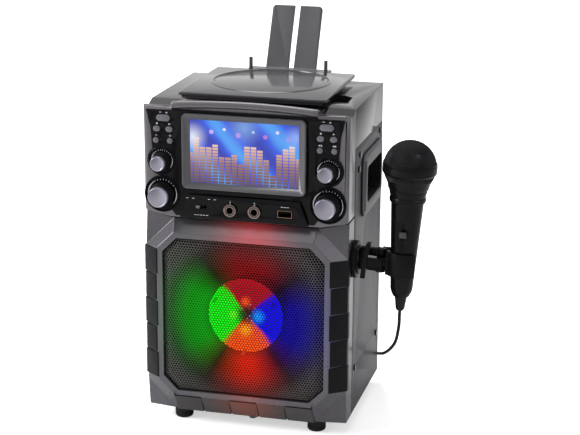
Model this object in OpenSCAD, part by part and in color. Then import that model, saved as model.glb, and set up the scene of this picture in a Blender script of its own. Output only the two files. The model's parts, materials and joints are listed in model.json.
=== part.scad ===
// Karaoke machine with a top-loading disc player, a colour display, a lit loudspeaker
// and a microphone on a side clip. Millimetres. X runs to the viewer's right, the front
// faces -Y, Z is up. The origin is on the floor, in the middle of the cabinet's width,
// in the plane where the front moulding meets the cabinet.

/* [Cabinet] */
// Width of the cabinet
body_w = 206; // [196:1:216]
// Height of the cabinet without its feet
body_h = 316; // [312:1:324]
// Depth of the cabinet behind the front moulding
body_d = 134; // [132:1:150]
// Wall thickness of the cabinet and its covers
wall = 3; // [2.4:0.2:3.6]
// Height of the top cover's skirt
cover_h = 40; // [36:1:44]
// Height of the feet
foot_h = 14; // [10:1:20]
// Diameter of the feet
foot_d = 19; // [15:0.5:22]

/* [Front moulding] */
// Depth of the control fascia in front of the cabinet
face_d = 30; // [28:0.5:33]
// How far the loudspeaker bezel's rim stands in front of the fascia
rim_out = 8; // [5:0.5:10]
// Height of the line where the fascia meets the bezel, above the cabinet's bottom
split_z = 202; // [200:0.5:204]
// Width of the dark seam between the fascia and the bezel
seam = 1.6; // [0.8:0.2:2.4]
// Half width of the bezel's octagonal rim
rim_half_w = 88; // [84:0.5:90]
// Height of the bezel's octagonal rim
rim_h = 171; // [164:1:174]
// Length of the rim's corner cut along each side
rim_cut = 17; // [12:0.5:22]
// Width of the rim's flat face
rim_face = 5.5; // [4:0.5:7]

/* [Display and sockets] */
// Width of the display's picture
screen_w = 109; // [104:0.5:111]
// Height of the display's picture
screen_h = 62.5; // [59:0.5:63]
// Height of the display's middle above the cabinet's bottom
screen_z = 272; // [271:0.5:273]
// Width of the display frame's side bevels
frame_bevel = 7.5; // [6:0.5:8]
// Bore of the microphone sockets, for a 6.35 mm plug
jack_bore = 6.5; // [6.45:0.05:6.8]
// Distance between the two microphone sockets
jack_pitch = 24.5; // [20:0.5:26]

/* [Controls] */
// Height of the upper knobs above the cabinet's bottom
knob_up_z = 260; // [259:0.5:262]
// Height of the lower knobs above the cabinet's bottom
knob_low_z = 226.5; // [225:0.5:228]
// Distance of every knob from the side of the cabinet
knob_in = 19.5; // [19:0.25:20.5]
// Cap diameter of the upper knobs
knob_up_d = 14; // [12:0.5:16]
// Cap diameter of the lower knobs
knob_low_d = 19.5; // [17:0.5:22]
// How far the knobs stand out of the panel
knob_len = 16; // [12:0.5:20]
// Travel of the push buttons
button_travel = 1; // [0.6:0.1:1.2]

/* [Disc player] */
// Diameter of the disc well
well_d = 122; // [121:0.5:124]
// Depth of the disc well below the deck
well_depth = 12; // [10:0.5:14]
// Diameter of the turntable's centring hub, for a disc with a 15 mm hole
hub_d = 14.9; // [14.8:0.05:14.95]
// Width of the lid
lid_w = 149; // [144:1:154]
// Thickness of the lid's plate
lid_t = 3.5; // [2.5:0.5:4]
// Height of the lid's underside above the deck
lid_gap = 5; // [5:0.25:6]

/* [Microphone and clip] */
// Diameter of the microphone's ball head
mic_head_d = 52; // [48:1:54]
// Length of the microphone's body below the head
mic_body_len = 110; // [105:1:116]
// Radius of the body at its lower end
mic_r_low = 11; // [10:0.5:11.5]
// Radius of the body at its collar
mic_r_top = 16; // [15:0.5:16.5]
// Lean of the microphone away from the cabinet, degrees
mic_lean = 2.5; // [0:0.5:4]
// Distance of the clip's jaws from the cabinet's side
clip_reach = 49.5; // [48:0.5:54]
// Height of the clip's jaws above the cabinet's bottom
clip_z = 166; // [150:1:180]
// Height of the clip's jaws
jaw_h = 24; // [18:1:26]
// Diameter of the microphone's cord
cord_d = 3.4; // [3:0.1:3.8]

/* [Cradle] */
// Length of the cradle's two back plates
plate_len = 70; // [60:1:80]
// Width of each back plate
plate_w = 24; // [20:1:28]
// Lean of the back plates, degrees
plate_lean = 26; // [15:1:30]
// How far the cradle can be pushed down behind the cabinet
cradle_travel = 55; // [40:1:60]

/* [Hidden] */
$fn = 64;
eps = 0.01;
cut = 1;
fit = 0.3;          // clearance round moving and inserted pieces
run_fit = 0.05;     // radial clearance of a shaft in its bore
hx = body_w / 2;
base_z = foot_h;
deck_z = foot_h + body_h;
skirt_z = deck_z - cover_h;
split = base_z + split_z;
shut_rise = 5.5;    // how much the seam rises towards the sides
side_run = 27;      // width of the seam's sloping stretches
face_y = -face_d;
rim_y = -face_d - rim_out;
skin = 1;           // thickness of the black overlay
skin_y = face_y - skin;
screen_zc = base_z + screen_z;
panel_lip = 4;      // how far the display panel reaches behind its frame
panel_t = 5;

// Knobs: side, height, cap diameter, ring radius
knob_x = hx - knob_in;
upper_z = base_z + knob_up_z;
lower_z = base_z + knob_low_z;
ring_up = 14;
ring_low = 18.5;
shaft_r = 3;
bush_r = 4.2;
knob_gap = 0.5;

// Push buttons: place of each row above the cabinet's bottom
row_bar = base_z + 303;
row_oval = base_z + 292;
row_round = base_z + 280.5;
bar_x = hx - 21.5;
oval_x = [hx - 27.5, hx - 14.7];
round_x = [hx - 28, hx - 13.8];
bar_size = [14, 6.5];
oval_size = [7.2, 5.6];
round_size = [5.8, 5.8];
button_out = 1.8;
board_y = face_y + 12;
board_t = 1.6;
switch_t = 4;

// Socket panel
sock_top = base_z + 228.5;
sock_bot = base_z + split_z + 1.5;
sock_half_top = 56;
sock_half_bot = 65;
sock_t = 3;
sock_y = skin_y - sock_t;
sock_row = base_z + 215.5;
jack_x = [-13.5, -13.5 + jack_pitch];
jack_len = 26;
jack_body = 15;
usb_x = 41.5;
usb_size = [14.4, 7.2, 14];
slide_x = -46;
slide_z = base_z + 217;
slide_travel = 6;

// Loudspeaker
spk_z = base_z + 105;
spk_r = 62;
baffle_t = 9;
disc_r = 38;

// Disc player
well_r = well_d / 2;
disc_y = body_d - wall - well_r - 1;
well_z = deck_z - well_depth;
lid_z = deck_z + lid_gap;
lid_front = -8;
lid_back = body_d - 5;
hinge_y = body_d - 7;
hinge_z = deck_z + 2.7;
knuckle_r = 2.2;
hinge_pin_r = 1.2;
hinge_x = 58;       // middle of each hinge
hinge_w = 5.4;      // width of the lid's knuckle
lug_w = 5;          // width of each lug beside it
sled_from = 22;
sled_travel = 29;
sled_far = sled_from + sled_travel + 16;
rod_z = well_z - 8;
rod_gap = 15;
rod_r = 1.25;
screw_r = 1.4;

// Clip and microphone, in a frame that leans with the microphone
jaw_z = base_z + clip_z;
mic_x = hx + clip_reach;
jaw_to_end = 35;    // from the jaws' middle down to the body's lower end
jaw_clear = 0.5;
mic_slope = (mic_r_top - mic_r_low) / mic_body_len;
jaw_r = mic_r_low + mic_slope * (jaw_to_end + jaw_h / 2) + jaw_clear;
jaw_t = 2.8;
pivot_x = -22;
clip_pin_r = 1.6;
clip_hub_r = 4.6;
arm_half = 4;       // half thickness of the clip's fixed arm
mic_bot = -jaw_to_end;
head_c = mic_bot + mic_body_len + 22;
relief_len = 14;

// Cradle
cradle_y = body_d + 3.2;
ledge_z = deck_z + 4;
stem_w = 22;
stem_t = 3;
guide_top = ledge_z - cradle_travel - 6;
guide_len = 34;

// Cord: a drop from the strain relief to the coil on the floor behind the cabinet
cord_r = cord_d / 2;
coil_c = [20, 196];     // middle of the coil
coil_loops = 5;         // loops in each layer
coil_layers = 4;
coil_r_out = 30;
coil_pitch = cord_d + 1;
coil_climb = cord_d + 0.6;
coil_rings = 24;

// Shared shapes

// A box given by its low and high corners
module box(a, b) {
  translate(a) cube(b - a);
}

// A flat shape in X and Z, from y0 back to y1
module plate(y0, y1) {
  translate([0, y1, 0]) rotate([90, 0, 0]) linear_extrude(y1 - y0) children();
}

// A round bar along Y
module bar_y(x, z, r, y0, y1) {
  translate([x, y0, z]) rotate([-90, 0, 0]) cylinder(h = y1 - y0, r = r);
}

// A round bar along X
module bar_x(x0, x1, y, z, r) {
  translate([x0, y, z]) rotate([0, 90, 0]) cylinder(h = x1 - x0, r = r);
}

// A rectangle with round corners, centred
module round_rect(w, h, r) {
  square([w - 2 * r, h], center = true);
  square([w, h - 2 * r], center = true);
  for (sx = [-1, 1], sz = [-1, 1]) {
    translate([sx * (w / 2 - r), sz * (h / 2 - r)]) circle(r);
  }
}

// A stadium, centred, lying along X
module stadium(size) {
  r = size[1] / 2;
  run = size[0] / 2 - r;
  if (run > eps) {
    square([2 * run, size[1]], center = true);
    for (sx = [-1, 1]) translate([sx * run, 0]) circle(r);
  }
  if (run <= eps) circle(r);
}

// Both halves of something that is alike left and right
module both_sides() {
  children();
  mirror([1, 0, 0]) children();
}

// The clip's frame: origin at the middle of the jaws, on the microphone's axis
module clip_frame() {
  translate([mic_x, 0, jaw_z]) rotate([0, mic_lean, 0]) children();
}

// Case

// Four round feet and a small clear bumper under the middle of the front
bumper_r = 4;

module feet() {
  color("#d9dad8") translate([0, bumper_r - 2.5, 0]) {
    cylinder(h = 1, r1 = bumper_r - 0.8, r2 = bumper_r);
    translate([0, 0, 1]) cylinder(h = foot_h - 1, r = bumper_r);
  }
  color("#1b1b1d")
    for (x = [33 - hx, hx - 33], y = [-foot_d / 2 - 1, body_d - 16]) {
      translate([x, y, 0]) {
        cylinder(h = 1.5, d1 = foot_d - 3, d2 = foot_d);
        translate([0, 0, 1.5]) cylinder(h = foot_h - 1.5, d = foot_d);
      }
    }
}

// Centres of the side screws, as depth and height
function side_screws() = [[body_d - 14, skirt_z - 7], [22, skirt_z - 10], [18, skirt_z - 24],
  [12, base_z + 47], [body_d - 14, base_z + 47]];
screw_hole_r = 1.6;

module side_screw_holes() {
  for (p = side_screws()) bar_x(-hx - cut, hx + cut, p[0], p[1], screw_hole_r);
}

module case_screws() {
  color("#2a2a2c")
    both_sides()
      for (p = side_screws()) {
        bar_x(hx, hx + 1.4, p[0], p[1], 3.2);
        bar_x(hx - wall - 2, hx + eps, p[0], p[1], screw_hole_r - 0.1);
      }
}

// Handle pocket: middle of the flange and of the opening in the cabinet's side
cup_y = body_d - 56;
cup_z = base_z + 230;
cup_size = [96, 64];
pocket_y = body_d - 47;
pocket_z = base_z + 227.5;
pocket_size = [71, 37];
pocket_depth = 24;
cup_wall = 2;

// A flat shape in Y and Z on the right side, from x0 out to x1
module side_plate(x0, x1, y, z) {
  translate([x0, y, z]) rotate([90, 0, 90]) linear_extrude(x1 - x0) children();
}

module handle_cups() {
  color("#4a484b")
    both_sides()
      difference() {
        union() {
          side_plate(hx, hx + 2.2, cup_y, cup_z) round_rect(cup_size[0], cup_size[1], 12);
          side_plate(hx - pocket_depth - cup_wall, hx + eps, pocket_y, pocket_z)
            round_rect(pocket_size[0] + 2 * cup_wall, pocket_size[1] + 2 * cup_wall, 8);
          bar_grip();
        }
        side_plate(hx - pocket_depth, hx + 2.2 + cut, pocket_y, pocket_z)
          round_rect(pocket_size[0], pocket_size[1], 6);
      }
}

// The curved bar at the handle's front edge
module bar_grip() {
  intersection() {
    translate([hx - 6, cup_y - cup_size[0] / 2 + 9, cup_z])
      cylinder(h = cup_size[1] - 12, r = 10, center = true);
    box([hx, 0, 0], [hx + 10, body_d, deck_z]);
  }
}

module cabinet_shell() {
  color("#5f5a5f")
    difference() {
      box([-hx, 0, base_z], [hx, body_d, skirt_z]);
      box([-hx + wall, -cut, base_z + wall], [hx - wall, body_d + cut, skirt_z + cut]);
      both_sides()
        side_plate(hx - wall - cut, hx + cut, pocket_y, pocket_z)
          round_rect(pocket_size[0] + 2 * cup_wall + 2 * fit,
            pocket_size[1] + 2 * cup_wall + 2 * fit, 8 + fit);
      side_screw_holes();
    }
}

// The finger recess beside the lid
notch_x = [hx - 38, hx - 15];
notch_y = [26, 60];
notch_depth = 7;

module notch_outline() {
  polygon([[notch_x[0], notch_y[0]], [notch_x[1], notch_y[0]], [notch_x[1], notch_y[1] - 8],
    [notch_x[1] - 9, notch_y[1]], [notch_x[0], notch_y[1]]]);
}

module top_cover() {
  lug_r = knuckle_r - 0.2;
  color("#8f8a8e")
    difference() {
      union() {
        difference() {
          box([-hx, 0, skirt_z], [hx, body_d, deck_z]);
          box([-hx + wall, -cut, skirt_z - cut], [hx - wall, body_d - wall, deck_z - wall]);
        }
        translate([0, disc_y, well_z - 2])
          cylinder(h = well_depth + 2, r = well_r + 1, $fn = 128);
        translate([0, disc_y, deck_z - eps])
          cylinder(h = 3, r = well_r + 1, $fn = 128);
        translate([0, 0, deck_z - notch_depth - 2])
          linear_extrude(notch_depth) offset_notch();
        both_sides()
          for (s = [-1, 1]) {
            x0 = hinge_x + s * (hinge_w / 2 + fit + lug_w / 2) - lug_w / 2;
            bar_x(x0, x0 + lug_w, hinge_y, hinge_z, lug_r);
            box([x0, hinge_y - lug_r, deck_z - eps], [x0 + lug_w, hinge_y + lug_r, hinge_z]);
          }
      }
      translate([0, disc_y, well_z]) cylinder(h = well_depth + 4, r = well_r, $fn = 128);
      translate([0, disc_y, well_z - 2 - cut]) cylinder(h = 4, r = 21);
      box([0, disc_y - 8, well_z - 2 - cut], [sled_from + sled_travel + 8, disc_y + 8, well_z + cut]);
      translate([0, 0, deck_z - notch_depth]) linear_extrude(notch_depth + cut) notch_outline();
      box([-40, hinge_y - 6, deck_z], [40, hinge_y + 6, deck_z + 4]);
      bar_x(-hinge_x - 12, -hinge_x + 12, hinge_y, hinge_z, hinge_pin_r);
      bar_x(hinge_x - 12, hinge_x + 12, hinge_y, hinge_z, hinge_pin_r);
    }
}

module offset_notch() {
  translate([notch_x[0] - 2, notch_y[0] - 2])
    square([notch_x[1] - notch_x[0] + 4, notch_y[1] - notch_y[0] + 4]);
}

// Sockets on the rear panel
rear_row = base_z + 40;
rca_x = [-58, -44, -30];
inlet_x = 60;

module rear_panel() {
  color("#3a393c")
    difference() {
      union() {
        box([-hx + wall, body_d - wall, base_z + wall], [hx - wall, body_d, skirt_z]);
        box([-stem_w / 2 - 4, body_d - eps, guide_top - guide_len],
          [stem_w / 2 + 4, cradle_y + stem_t + 3.2, guide_top]);
      }
      box([-stem_w / 2 - fit, cradle_y - fit, guide_top - guide_len - cut],
        [stem_w / 2 + fit, cradle_y + stem_t + fit, guide_top + cut]);
      for (x = rca_x) bar_y(x, rear_row, 5, body_d - wall - cut, body_d + cut);
      box([inlet_x - 11, body_d - wall - cut, rear_row - 7], [inlet_x + 11, body_d + cut, rear_row + 7]);
      for (i = [0:7]) {
        box([-40, body_d - wall - cut, base_z + 110 + i * 9],
          [40, body_d + cut, base_z + 113 + i * 9]);
      }
    }
}

module rear_sockets() {
  y1 = body_d - wall;
  color("#b8b2a2") {
    box([rca_x[0] - 8, y1 - 12, rear_row - 8], [rca_x[2] + 8, y1, rear_row + 8]);
    difference() {
      for (x = rca_x) bar_y(x, rear_row, 4.2, y1 - eps, body_d + 8);
      for (x = rca_x) bar_y(x, rear_row, 1.7, body_d - 2, body_d + 8 + cut);
    }
    difference() {
      box([inlet_x - 10.6, y1 - 14, rear_row - 6.6], [inlet_x + 10.6, body_d + 1, rear_row + 6.6]);
      translate([inlet_x, 0, rear_row]) plate(body_d - 11, body_d + 1 + cut) stadium([15, 8]);
    }
  }
}

module baffle() {
  color("#6b5a48")
    difference() {
      box([-hx + wall, 0, base_z + wall], [hx - wall, baffle_t, split]);
      bar_y(0, spk_z, spk_r - 5, -cut, baffle_t + cut);
    }
}

// Control fascia

module panel_openings(grow) {
  translate([0, screen_zc])
    square([screen_w + 2 * panel_lip + 2 * grow, screen_h + 2 * panel_lip + 2 * grow], center = true);
  for (sx = [-1, 1]) {
    for (z = [upper_z, lower_z]) translate([sx * knob_x, z]) circle(bush_r + grow);
    translate([sx * bar_x, row_bar]) stadium(bar_size + 2 * [fit, fit]);
    for (x = oval_x) translate([sx * x, row_oval]) stadium(oval_size + 2 * [fit, fit]);
    for (x = round_x) translate([sx * x, row_round]) circle(round_size[0] / 2 + fit);
  }
  for (x = jack_x) translate([x, sock_row]) circle(5.4 + grow);
  translate([usb_x, sock_row]) square([usb_size[0] + 2 * grow, usb_size[1] + 2 * grow], center = true);
  translate([slide_x + slide_travel / 2, slide_z]) square([slide_travel + 5, 3.4], center = true);
}

// The fascia's front outline, with the rising seam below
module fascia_outline(inset) {
  polygon([[-hx + inset, split + shut_rise + seam + inset], [-hx + side_run, split + seam + inset],
    [hx - side_run, split + seam + inset], [hx - inset, split + shut_rise + seam + inset],
    [hx - inset, deck_z - inset], [-hx + inset, deck_z - inset]]);
}

// Section of the hood bar that runs along the fascia's top edge, in Y and Z
module hood_section(top, thick, out) {
  y0 = face_y - out;
  polygon([[y0 + 2, top - thick], [y0, top - thick + 1.5], [y0, top - 2], [y0 + 1.5, top],
    [y0 + 5, top], [y0 + 9, top - 3], [y0 + 14, top - 4.5], [y0 + 20, top - 3.5],
    [0, deck_z], [0, deck_z - 4], [y0 + 6, top - thick]]);
}

module hood(x0, x1, top, thick, out) {
  translate([x0, 0, 0]) rotate([90, 0, 90]) linear_extrude(x1 - x0) hood_section(top, thick, out);
}

hood_half = hx - 30;

// Lower bar that carries the hood on at each side
module side_bar() {
  y0 = face_y - 1.6;
  translate([hood_half - eps, 0, 0]) rotate([90, 0, 90]) linear_extrude(hx - hood_half - 3)
    polygon([[face_y + 0.5, deck_z - 5.5], [face_y, deck_z - 5.5], [y0 + 0.5, deck_z - 5], [y0, deck_z - 4.2],
      [y0, deck_z - 2], [y0 + 0.8, deck_z - 1], [face_y + 0.5, deck_z - 1]]);
}

module fascia() {
  color("#77757a")
    difference() {
      union() {
        plate(face_y, 0) fascia_outline(0);
        hood(-hood_half, hood_half, deck_z + 3.5, 7, 3);
        both_sides() side_bar();
      }
      plate(face_y + wall, cut)
        intersection() {
          fascia_outline(wall);
          translate([-hx, 0]) square([body_w, deck_z - 8.5]);
        }
      plate(face_y - 0.5, face_y + wall + cut) panel_openings(fit);
      for (s = [-1, 1]) {
        translate([s * hx, face_y, 0]) rotate([0, 0, 45])
          cube([4, 4, 3 * deck_z], center = true);
      }
      both_sides()
        translate([hood_half - eps, 0, 0]) rotate([90, 0, 90]) linear_extrude(hx)
          polygon([[face_y - 4, deck_z - 1], [face_y + 3, deck_z - 1], [face_y + 9, deck_z - 4],
            [face_y + 18, deck_z - 4], [-2, deck_z + 0.1], [-2, deck_z + 2], [face_y - 4, deck_z + 2]]);
    }
}

module overlay_outline() {
  low = split + seam + 2;
  both_sides() {
    polygon([[0, low], [hx - side_run - 6, low], [hx - 23, lower_z - 8], [hx - 23, upper_z - 6],
      [hx - 9.5, upper_z + 12], [hx - 8, row_oval], [hx - 4, deck_z - 5.8], [hood_half - 0.5, deck_z - 5.8],
      [hood_half - 0.5, deck_z - 3.8], [0, deck_z - 3.8]]);
    translate([knob_x, upper_z]) circle(ring_up + 1.2);
    translate([knob_x, lower_z]) circle(ring_low);
  }
}

module fascia_overlay() {
  color("#141216") {
    difference() {
      plate(skin_y, face_y) overlay_outline();
      plate(skin_y - cut, face_y + cut) panel_openings(fit);
    }
    for (sx = [-1, 1]) {
      knob_ring(sx * knob_x, upper_z, ring_up);
      knob_ring(sx * knob_x, lower_z, ring_low);
    }
  }
}

// Raised ring round a knob
module knob_ring(x, z, r) {
  translate([x, skin_y, z]) rotate([90, 0, 0])
    rotate_extrude() polygon([[r - 2.2, 0], [r, 0], [r - 0.4, 1.4], [r - 1.4, 1.4]]);
}

module display_frame() {
  w = screen_w + 2 * frame_bevel;
  h = screen_h + 2 * (frame_bevel - 1.5);
  rise = 4.5;
  color("#9a989c")
    translate([0, 0, screen_zc])
      difference() {
        plate(skin_y - rise, skin_y) round_rect(w, h, 5);
        plate(skin_y - rise - cut, skin_y + cut) square([screen_w, screen_h], center = true);
        hull() {
          plate(skin_y - rise - 0.2, skin_y - rise) round_rect(w - 3, h - 3, 4);
          plate(skin_y - 1, skin_y - 0.9) square([screen_w, screen_h], center = true);
        }
      }
}

module display_panel() {
  color("#1f3f8f")
    translate([0, 0, screen_zc])
      plate(skin_y, skin_y + panel_t)
        square([screen_w + 2 * panel_lip, screen_h + 2 * panel_lip], center = true);
}

module socket_panel() {
  color("#1a181c")
    difference() {
      plate(sock_y, skin_y)
        polygon([[-sock_half_bot, sock_bot + 1.5], [sock_half_bot, sock_bot + 1.5],
          [sock_half_top, sock_top], [-sock_half_top, sock_top]]);
      plate(sock_y - cut, skin_y + cut) panel_openings(fit);
    }
}

module mic_jacks() {
  back = sock_y - 2 + jack_len;
  color("#c7c5c2")
    for (x = jack_x) {
      difference() {
        union() {
          bar_y(x, sock_row, 6.4, sock_y - 2, sock_y);
          bar_y(x, sock_row, 5.2, sock_y - 1, face_y + wall + eps);
          box([x - jack_body / 2, face_y + wall, sock_row - 8.5],
            [x + jack_body / 2, back, sock_row + 8.5]);
        }
        bar_y(x, sock_row, jack_bore / 2, sock_y - 2 - cut, back - 1.5);
      }
    }
}

module usb_socket() {
  y0 = sock_y - 0.6;
  color("#c9a27a")
    translate([usb_x, 0, sock_row]) {
      difference() {
        plate(y0, y0 + usb_size[2]) square([usb_size[0], usb_size[1]], center = true);
        plate(y0 - cut, y0 + usb_size[2] - 1) square([usb_size[0] - 1, usb_size[1] - 1], center = true);
      }
      box([-5.8, y0 + 1.5, 0.6], [5.8, y0 + usb_size[2] - 1 + eps, 2.4]);
      box([-9, y0 + usb_size[2], -5], [9, y0 + usb_size[2] + 3, 5]);
    }
}

// Knobs and their potentiometers

function knob_z(low) = low ? lower_z : upper_z;
pot_front = face_y + wall;
pot_t = 8;

module control_pots() {
  color("#a7a39a")
    for (sx = [-1, 1], z = [upper_z, lower_z]) {
      difference() {
        union() {
          bar_y(sx * knob_x, z, 8.4, pot_front, pot_front + pot_t);
          bar_y(sx * knob_x, z, bush_r, skin_y, pot_front + eps);
        }
        bar_y(sx * knob_x, z, shaft_r + run_fit, skin_y - cut, pot_front + pot_t - 1);
      }
    }
}

// Knob with its shaft: a tapered skirt, a domed cap and a small waist
module knob(side, low) {
  d = low ? knob_low_d : knob_up_d;
  r = d / 2;
  foot = r + (low ? 2.4 : 2);
  translate([side * knob_x, skin_y - knob_gap, knob_z(low)]) rotate([90, 0, 0]) {
    rotate_extrude()
      polygon([[0, 0], [foot, 0], [foot, 2.5], [r + 1.2, knob_len - 4], [r + 0.5, knob_len - 3],
        [r + 0.5, knob_len - 1], [r - 0.8, knob_len], [0, knob_len]]);
    translate([0, 0, -(pot_front + pot_t - 2 - skin_y + knob_gap)])
      cylinder(h = pot_front + pot_t - 2 - skin_y + knob_gap + eps, r = shaft_r);
  }
}

module knob_upper_left() { color("#c9c7ca") knob(-1, false); }
module knob_lower_left() { color("#c9c7ca") knob(-1, true); }
module knob_upper_right() { color("#c9c7ca") knob(1, false); }
module knob_lower_right() { color("#c9c7ca") knob(1, true); }

// Push buttons: cap, retaining flange and stem

module push_button(x, z, size) {
  back = face_y + wall + fit;
  color("#8d8b8f")
    translate([x, 0, z]) {
      plate(skin_y - button_out, back) stadium(size);
      plate(back, back + 1.2) stadium(size + [1.6, 1.6]);
      bar_y(0, 0, 1.2, back + 1.2 - eps, board_y - switch_t - fit - button_travel);
    }
}

module bar_button_left() { push_button(-bar_x, row_bar, bar_size); }
module bar_button_right() { push_button(bar_x, row_bar, bar_size); }
module oval_button_left_outer() { push_button(-oval_x[1], row_oval, oval_size); }
module oval_button_left_inner() { push_button(-oval_x[0], row_oval, oval_size); }
module oval_button_right_inner() { push_button(oval_x[0], row_oval, oval_size); }
module oval_button_right_outer() { push_button(oval_x[1], row_oval, oval_size); }
module round_button_left_outer() { push_button(-round_x[1], row_round, round_size); }
module round_button_left_inner() { push_button(-round_x[0], row_round, round_size); }
module round_button_right_inner() { push_button(round_x[0], row_round, round_size); }
module round_button_right_outer() { push_button(round_x[1], row_round, round_size); }

function button_places() = concat([for (s = [-1, 1]) [s * bar_x, row_bar]],
  [for (s = [-1, 1], x = oval_x) [s * x, row_oval]],
  [for (s = [-1, 1], x = round_x) [s * x, row_round]]);

module tact_switches() {
  color("#2c2c30") {
    for (p = button_places()) {
      box([p[0] - 3, board_y - switch_t, p[1] - 3], [p[0] + 3, board_y, p[1] + 3]);
    }
    box([slide_x - 5, board_y - 5, slide_z - 3.5], [slide_x + slide_travel + 5, board_y, slide_z + 3.5]);
  }
}

module front_board() {
  color("#2e6b45")
    union() {
      box([-hx + wall + 2, board_y, row_round - 6], [hx - wall - 2, board_y + board_t, deck_z - 12]);
      box([slide_x - 12, board_y, sock_row + 13], [slide_x + 30, board_y + board_t, row_round - 6 + eps]);
      box([slide_x - 12, board_y, slide_z - 9], [jack_x[0] - 9, board_y + board_t, sock_row + 13 + eps]);
    }
}

// The mode switch's sliding thumb-piece
module mode_slider() {
  color("#b9b7bb")
    translate([slide_x, 0, slide_z]) {
      box([-1.8, sock_y - 2, -1.3], [1.8, face_y + wall + fit, 1.3]);
      box([-3.4, face_y + wall + fit, -2.6], [3.4, board_y - 5 - fit, 2.6]);
    }
}

// Loudspeaker bezel

rim_zc = base_z + 104;

// An octagon made of a rectangle with cut corners, centred
module octagon(hw, hh, c) {
  polygon([[-hw, -hh + c], [-hw + c, -hh], [hw - c, -hh], [hw, -hh + c],
    [hw, hh - c], [hw - c, hh], [-hw + c, hh], [-hw, hh - c]]);
}

module rim_octagon(inset) {
  translate([0, rim_zc]) octagon(rim_half_w - inset, rim_h / 2 - inset, rim_cut - inset * 0.4);
}

// The bezel's outline on the cabinet, with the rising seam above
module bezel_outline(inset) {
  polygon([[-hx + inset, base_z + inset], [hx - inset, base_z + inset],
    [hx - inset, split + shut_rise - inset], [hx - side_run, split - inset],
    [-hx + side_run, split - inset], [-hx + inset, split + shut_rise - inset]]);
}

// The larger octagon where the facets meet the outer walls
module facet_octagon(inset) {
  translate([0, (base_z + split) / 2])
    octagon(hx - inset, (split - base_z) / 2 - inset, 30 - inset * 0.4);
}

skirt_front = -22;  // front edge of the bezel's outer walls

module bezel_mass(inset, back) {
  intersection() {
    union() {
      hull() {
        plate(rim_y + inset, rim_y + inset + 0.2) rim_octagon(inset * 0.5);
        plate(skirt_front - 4 + inset, skirt_front - 3.8 + inset) facet_octagon(inset);
      }
      hull() {
        plate(skirt_front - 4 + inset, skirt_front - 3.8 + inset) facet_octagon(inset);
        plate(skirt_front + inset, skirt_front + 0.2 + inset) bezel_outline(inset);
      }
    }
    plate(rim_y - cut, skirt_front + 0.2 + inset) bezel_outline(inset);
  }
  plate(skirt_front + inset, back) bezel_outline(inset);
}

module speaker_bezel() {
  color("#9c9a9e")
    difference() {
      bezel_mass(0, 0);
      bezel_mass(wall, cut);
      plate(rim_y - cut, rim_y + 12) rim_octagon(rim_face);
    }
}

// Rubber-like grip blocks over the side and bottom facets
module grip_blocks() {
  pitch_z = 27.3;
  pitch_x = 28.8;
  grip_back = skirt_front + 1.5;
  color("#242226")
    difference() {
      intersection() {
        hull() {
          plate(rim_y - 0.8, rim_y) rim_octagon(-0.5);
          plate(skirt_front - 5, skirt_front - 4.8) grown_outline(1.4);
          plate(-1.5, -1.2) grown_outline(1.4);
        }
        union() {
          for (i = [0:4], s = [-1, 1]) {
            deep = i % 2 == 0 ? 0 : 1.4;
            x0 = rim_half_w - (i % 2 == 0 ? 0 : 2.4);
            box([min(s * x0, s * (hx + 1.4 - deep / 2)), rim_y - 1 + deep, rim_zc - 2.5 * pitch_z + i * pitch_z + 0.5],
              [max(s * x0, s * (hx + 1.4 - deep / 2)), grip_back, rim_zc - 2.5 * pitch_z + (i + 1) * pitch_z - 0.5]);
          }
          for (i = [0:4]) {
            deep = i % 2 == 0 ? 0 : 1.4;
            box([-2.5 * pitch_x + i * pitch_x + 0.5, rim_y - 1 + deep, base_z - 1],
              [-2.5 * pitch_x + (i + 1) * pitch_x - 0.5, grip_back, rim_zc - rim_h / 2]);
          }
        }
      }
      bezel_mass(0, 0);
    }
}

module grown_outline(g) {
  translate([0, (base_z + split) / 2]) octagon(hx + g, (split - base_z) / 2 + g, 30);
}

// Formed and perforated loudspeaker grille
hole_pitch = 9;
hole_r = 3.2;
grille_y = rim_y + 0.4;
grille_t = 1;

module grille() {
  edge = rim_face + 9;
  lip = rim_y + wall;     // back of the bezel's rim
  rows = floor((rim_h / 2 - edge - 5) / (hole_pitch * 0.866));
  cols = floor((rim_half_w - edge - 5) / hole_pitch);
  color("#2b2a2d") {
    difference() {
      plate(grille_y, grille_y + grille_t) rim_octagon(edge);
      plate(grille_y - cut, grille_y + grille_t + cut)
        for (j = [-rows:rows], i = [-cols:cols]) {
          x = (i + (abs(j) % 2) / 2) * hole_pitch;
          z = j * hole_pitch * 0.866;
          if (abs(x) + abs(z) < rim_half_w + rim_h / 2 - rim_cut - 2 * edge && abs(x) < rim_half_w - edge - 4)
            translate([x, rim_zc + z]) circle(hole_r, $fn = 13);
        }
    }
    difference() {
      union() {
        plate(lip, lip + 1) rim_octagon(rim_face - 1.6);
        hull() {
          plate(lip, lip + 1) rim_octagon(rim_face + 0.5);
          plate(grille_y, grille_y + 0.2) rim_octagon(edge - 1);
        }
      }
      hull() {
        plate(lip + 1, lip + 1 + cut) rim_octagon(rim_face + 1.3);
        plate(grille_y + grille_t, grille_y + grille_t + 0.1) rim_octagon(edge - 0.4);
      }
      plate(grille_y - 0.02, grille_y + grille_t + cut) rim_octagon(edge);
    }
  }
}

// Loudspeaker

module speaker_turn() {
  translate([0, 0, spk_z]) rotate([-90, 0, 0]) rotate_extrude($fn = 96) children();
}

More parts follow.
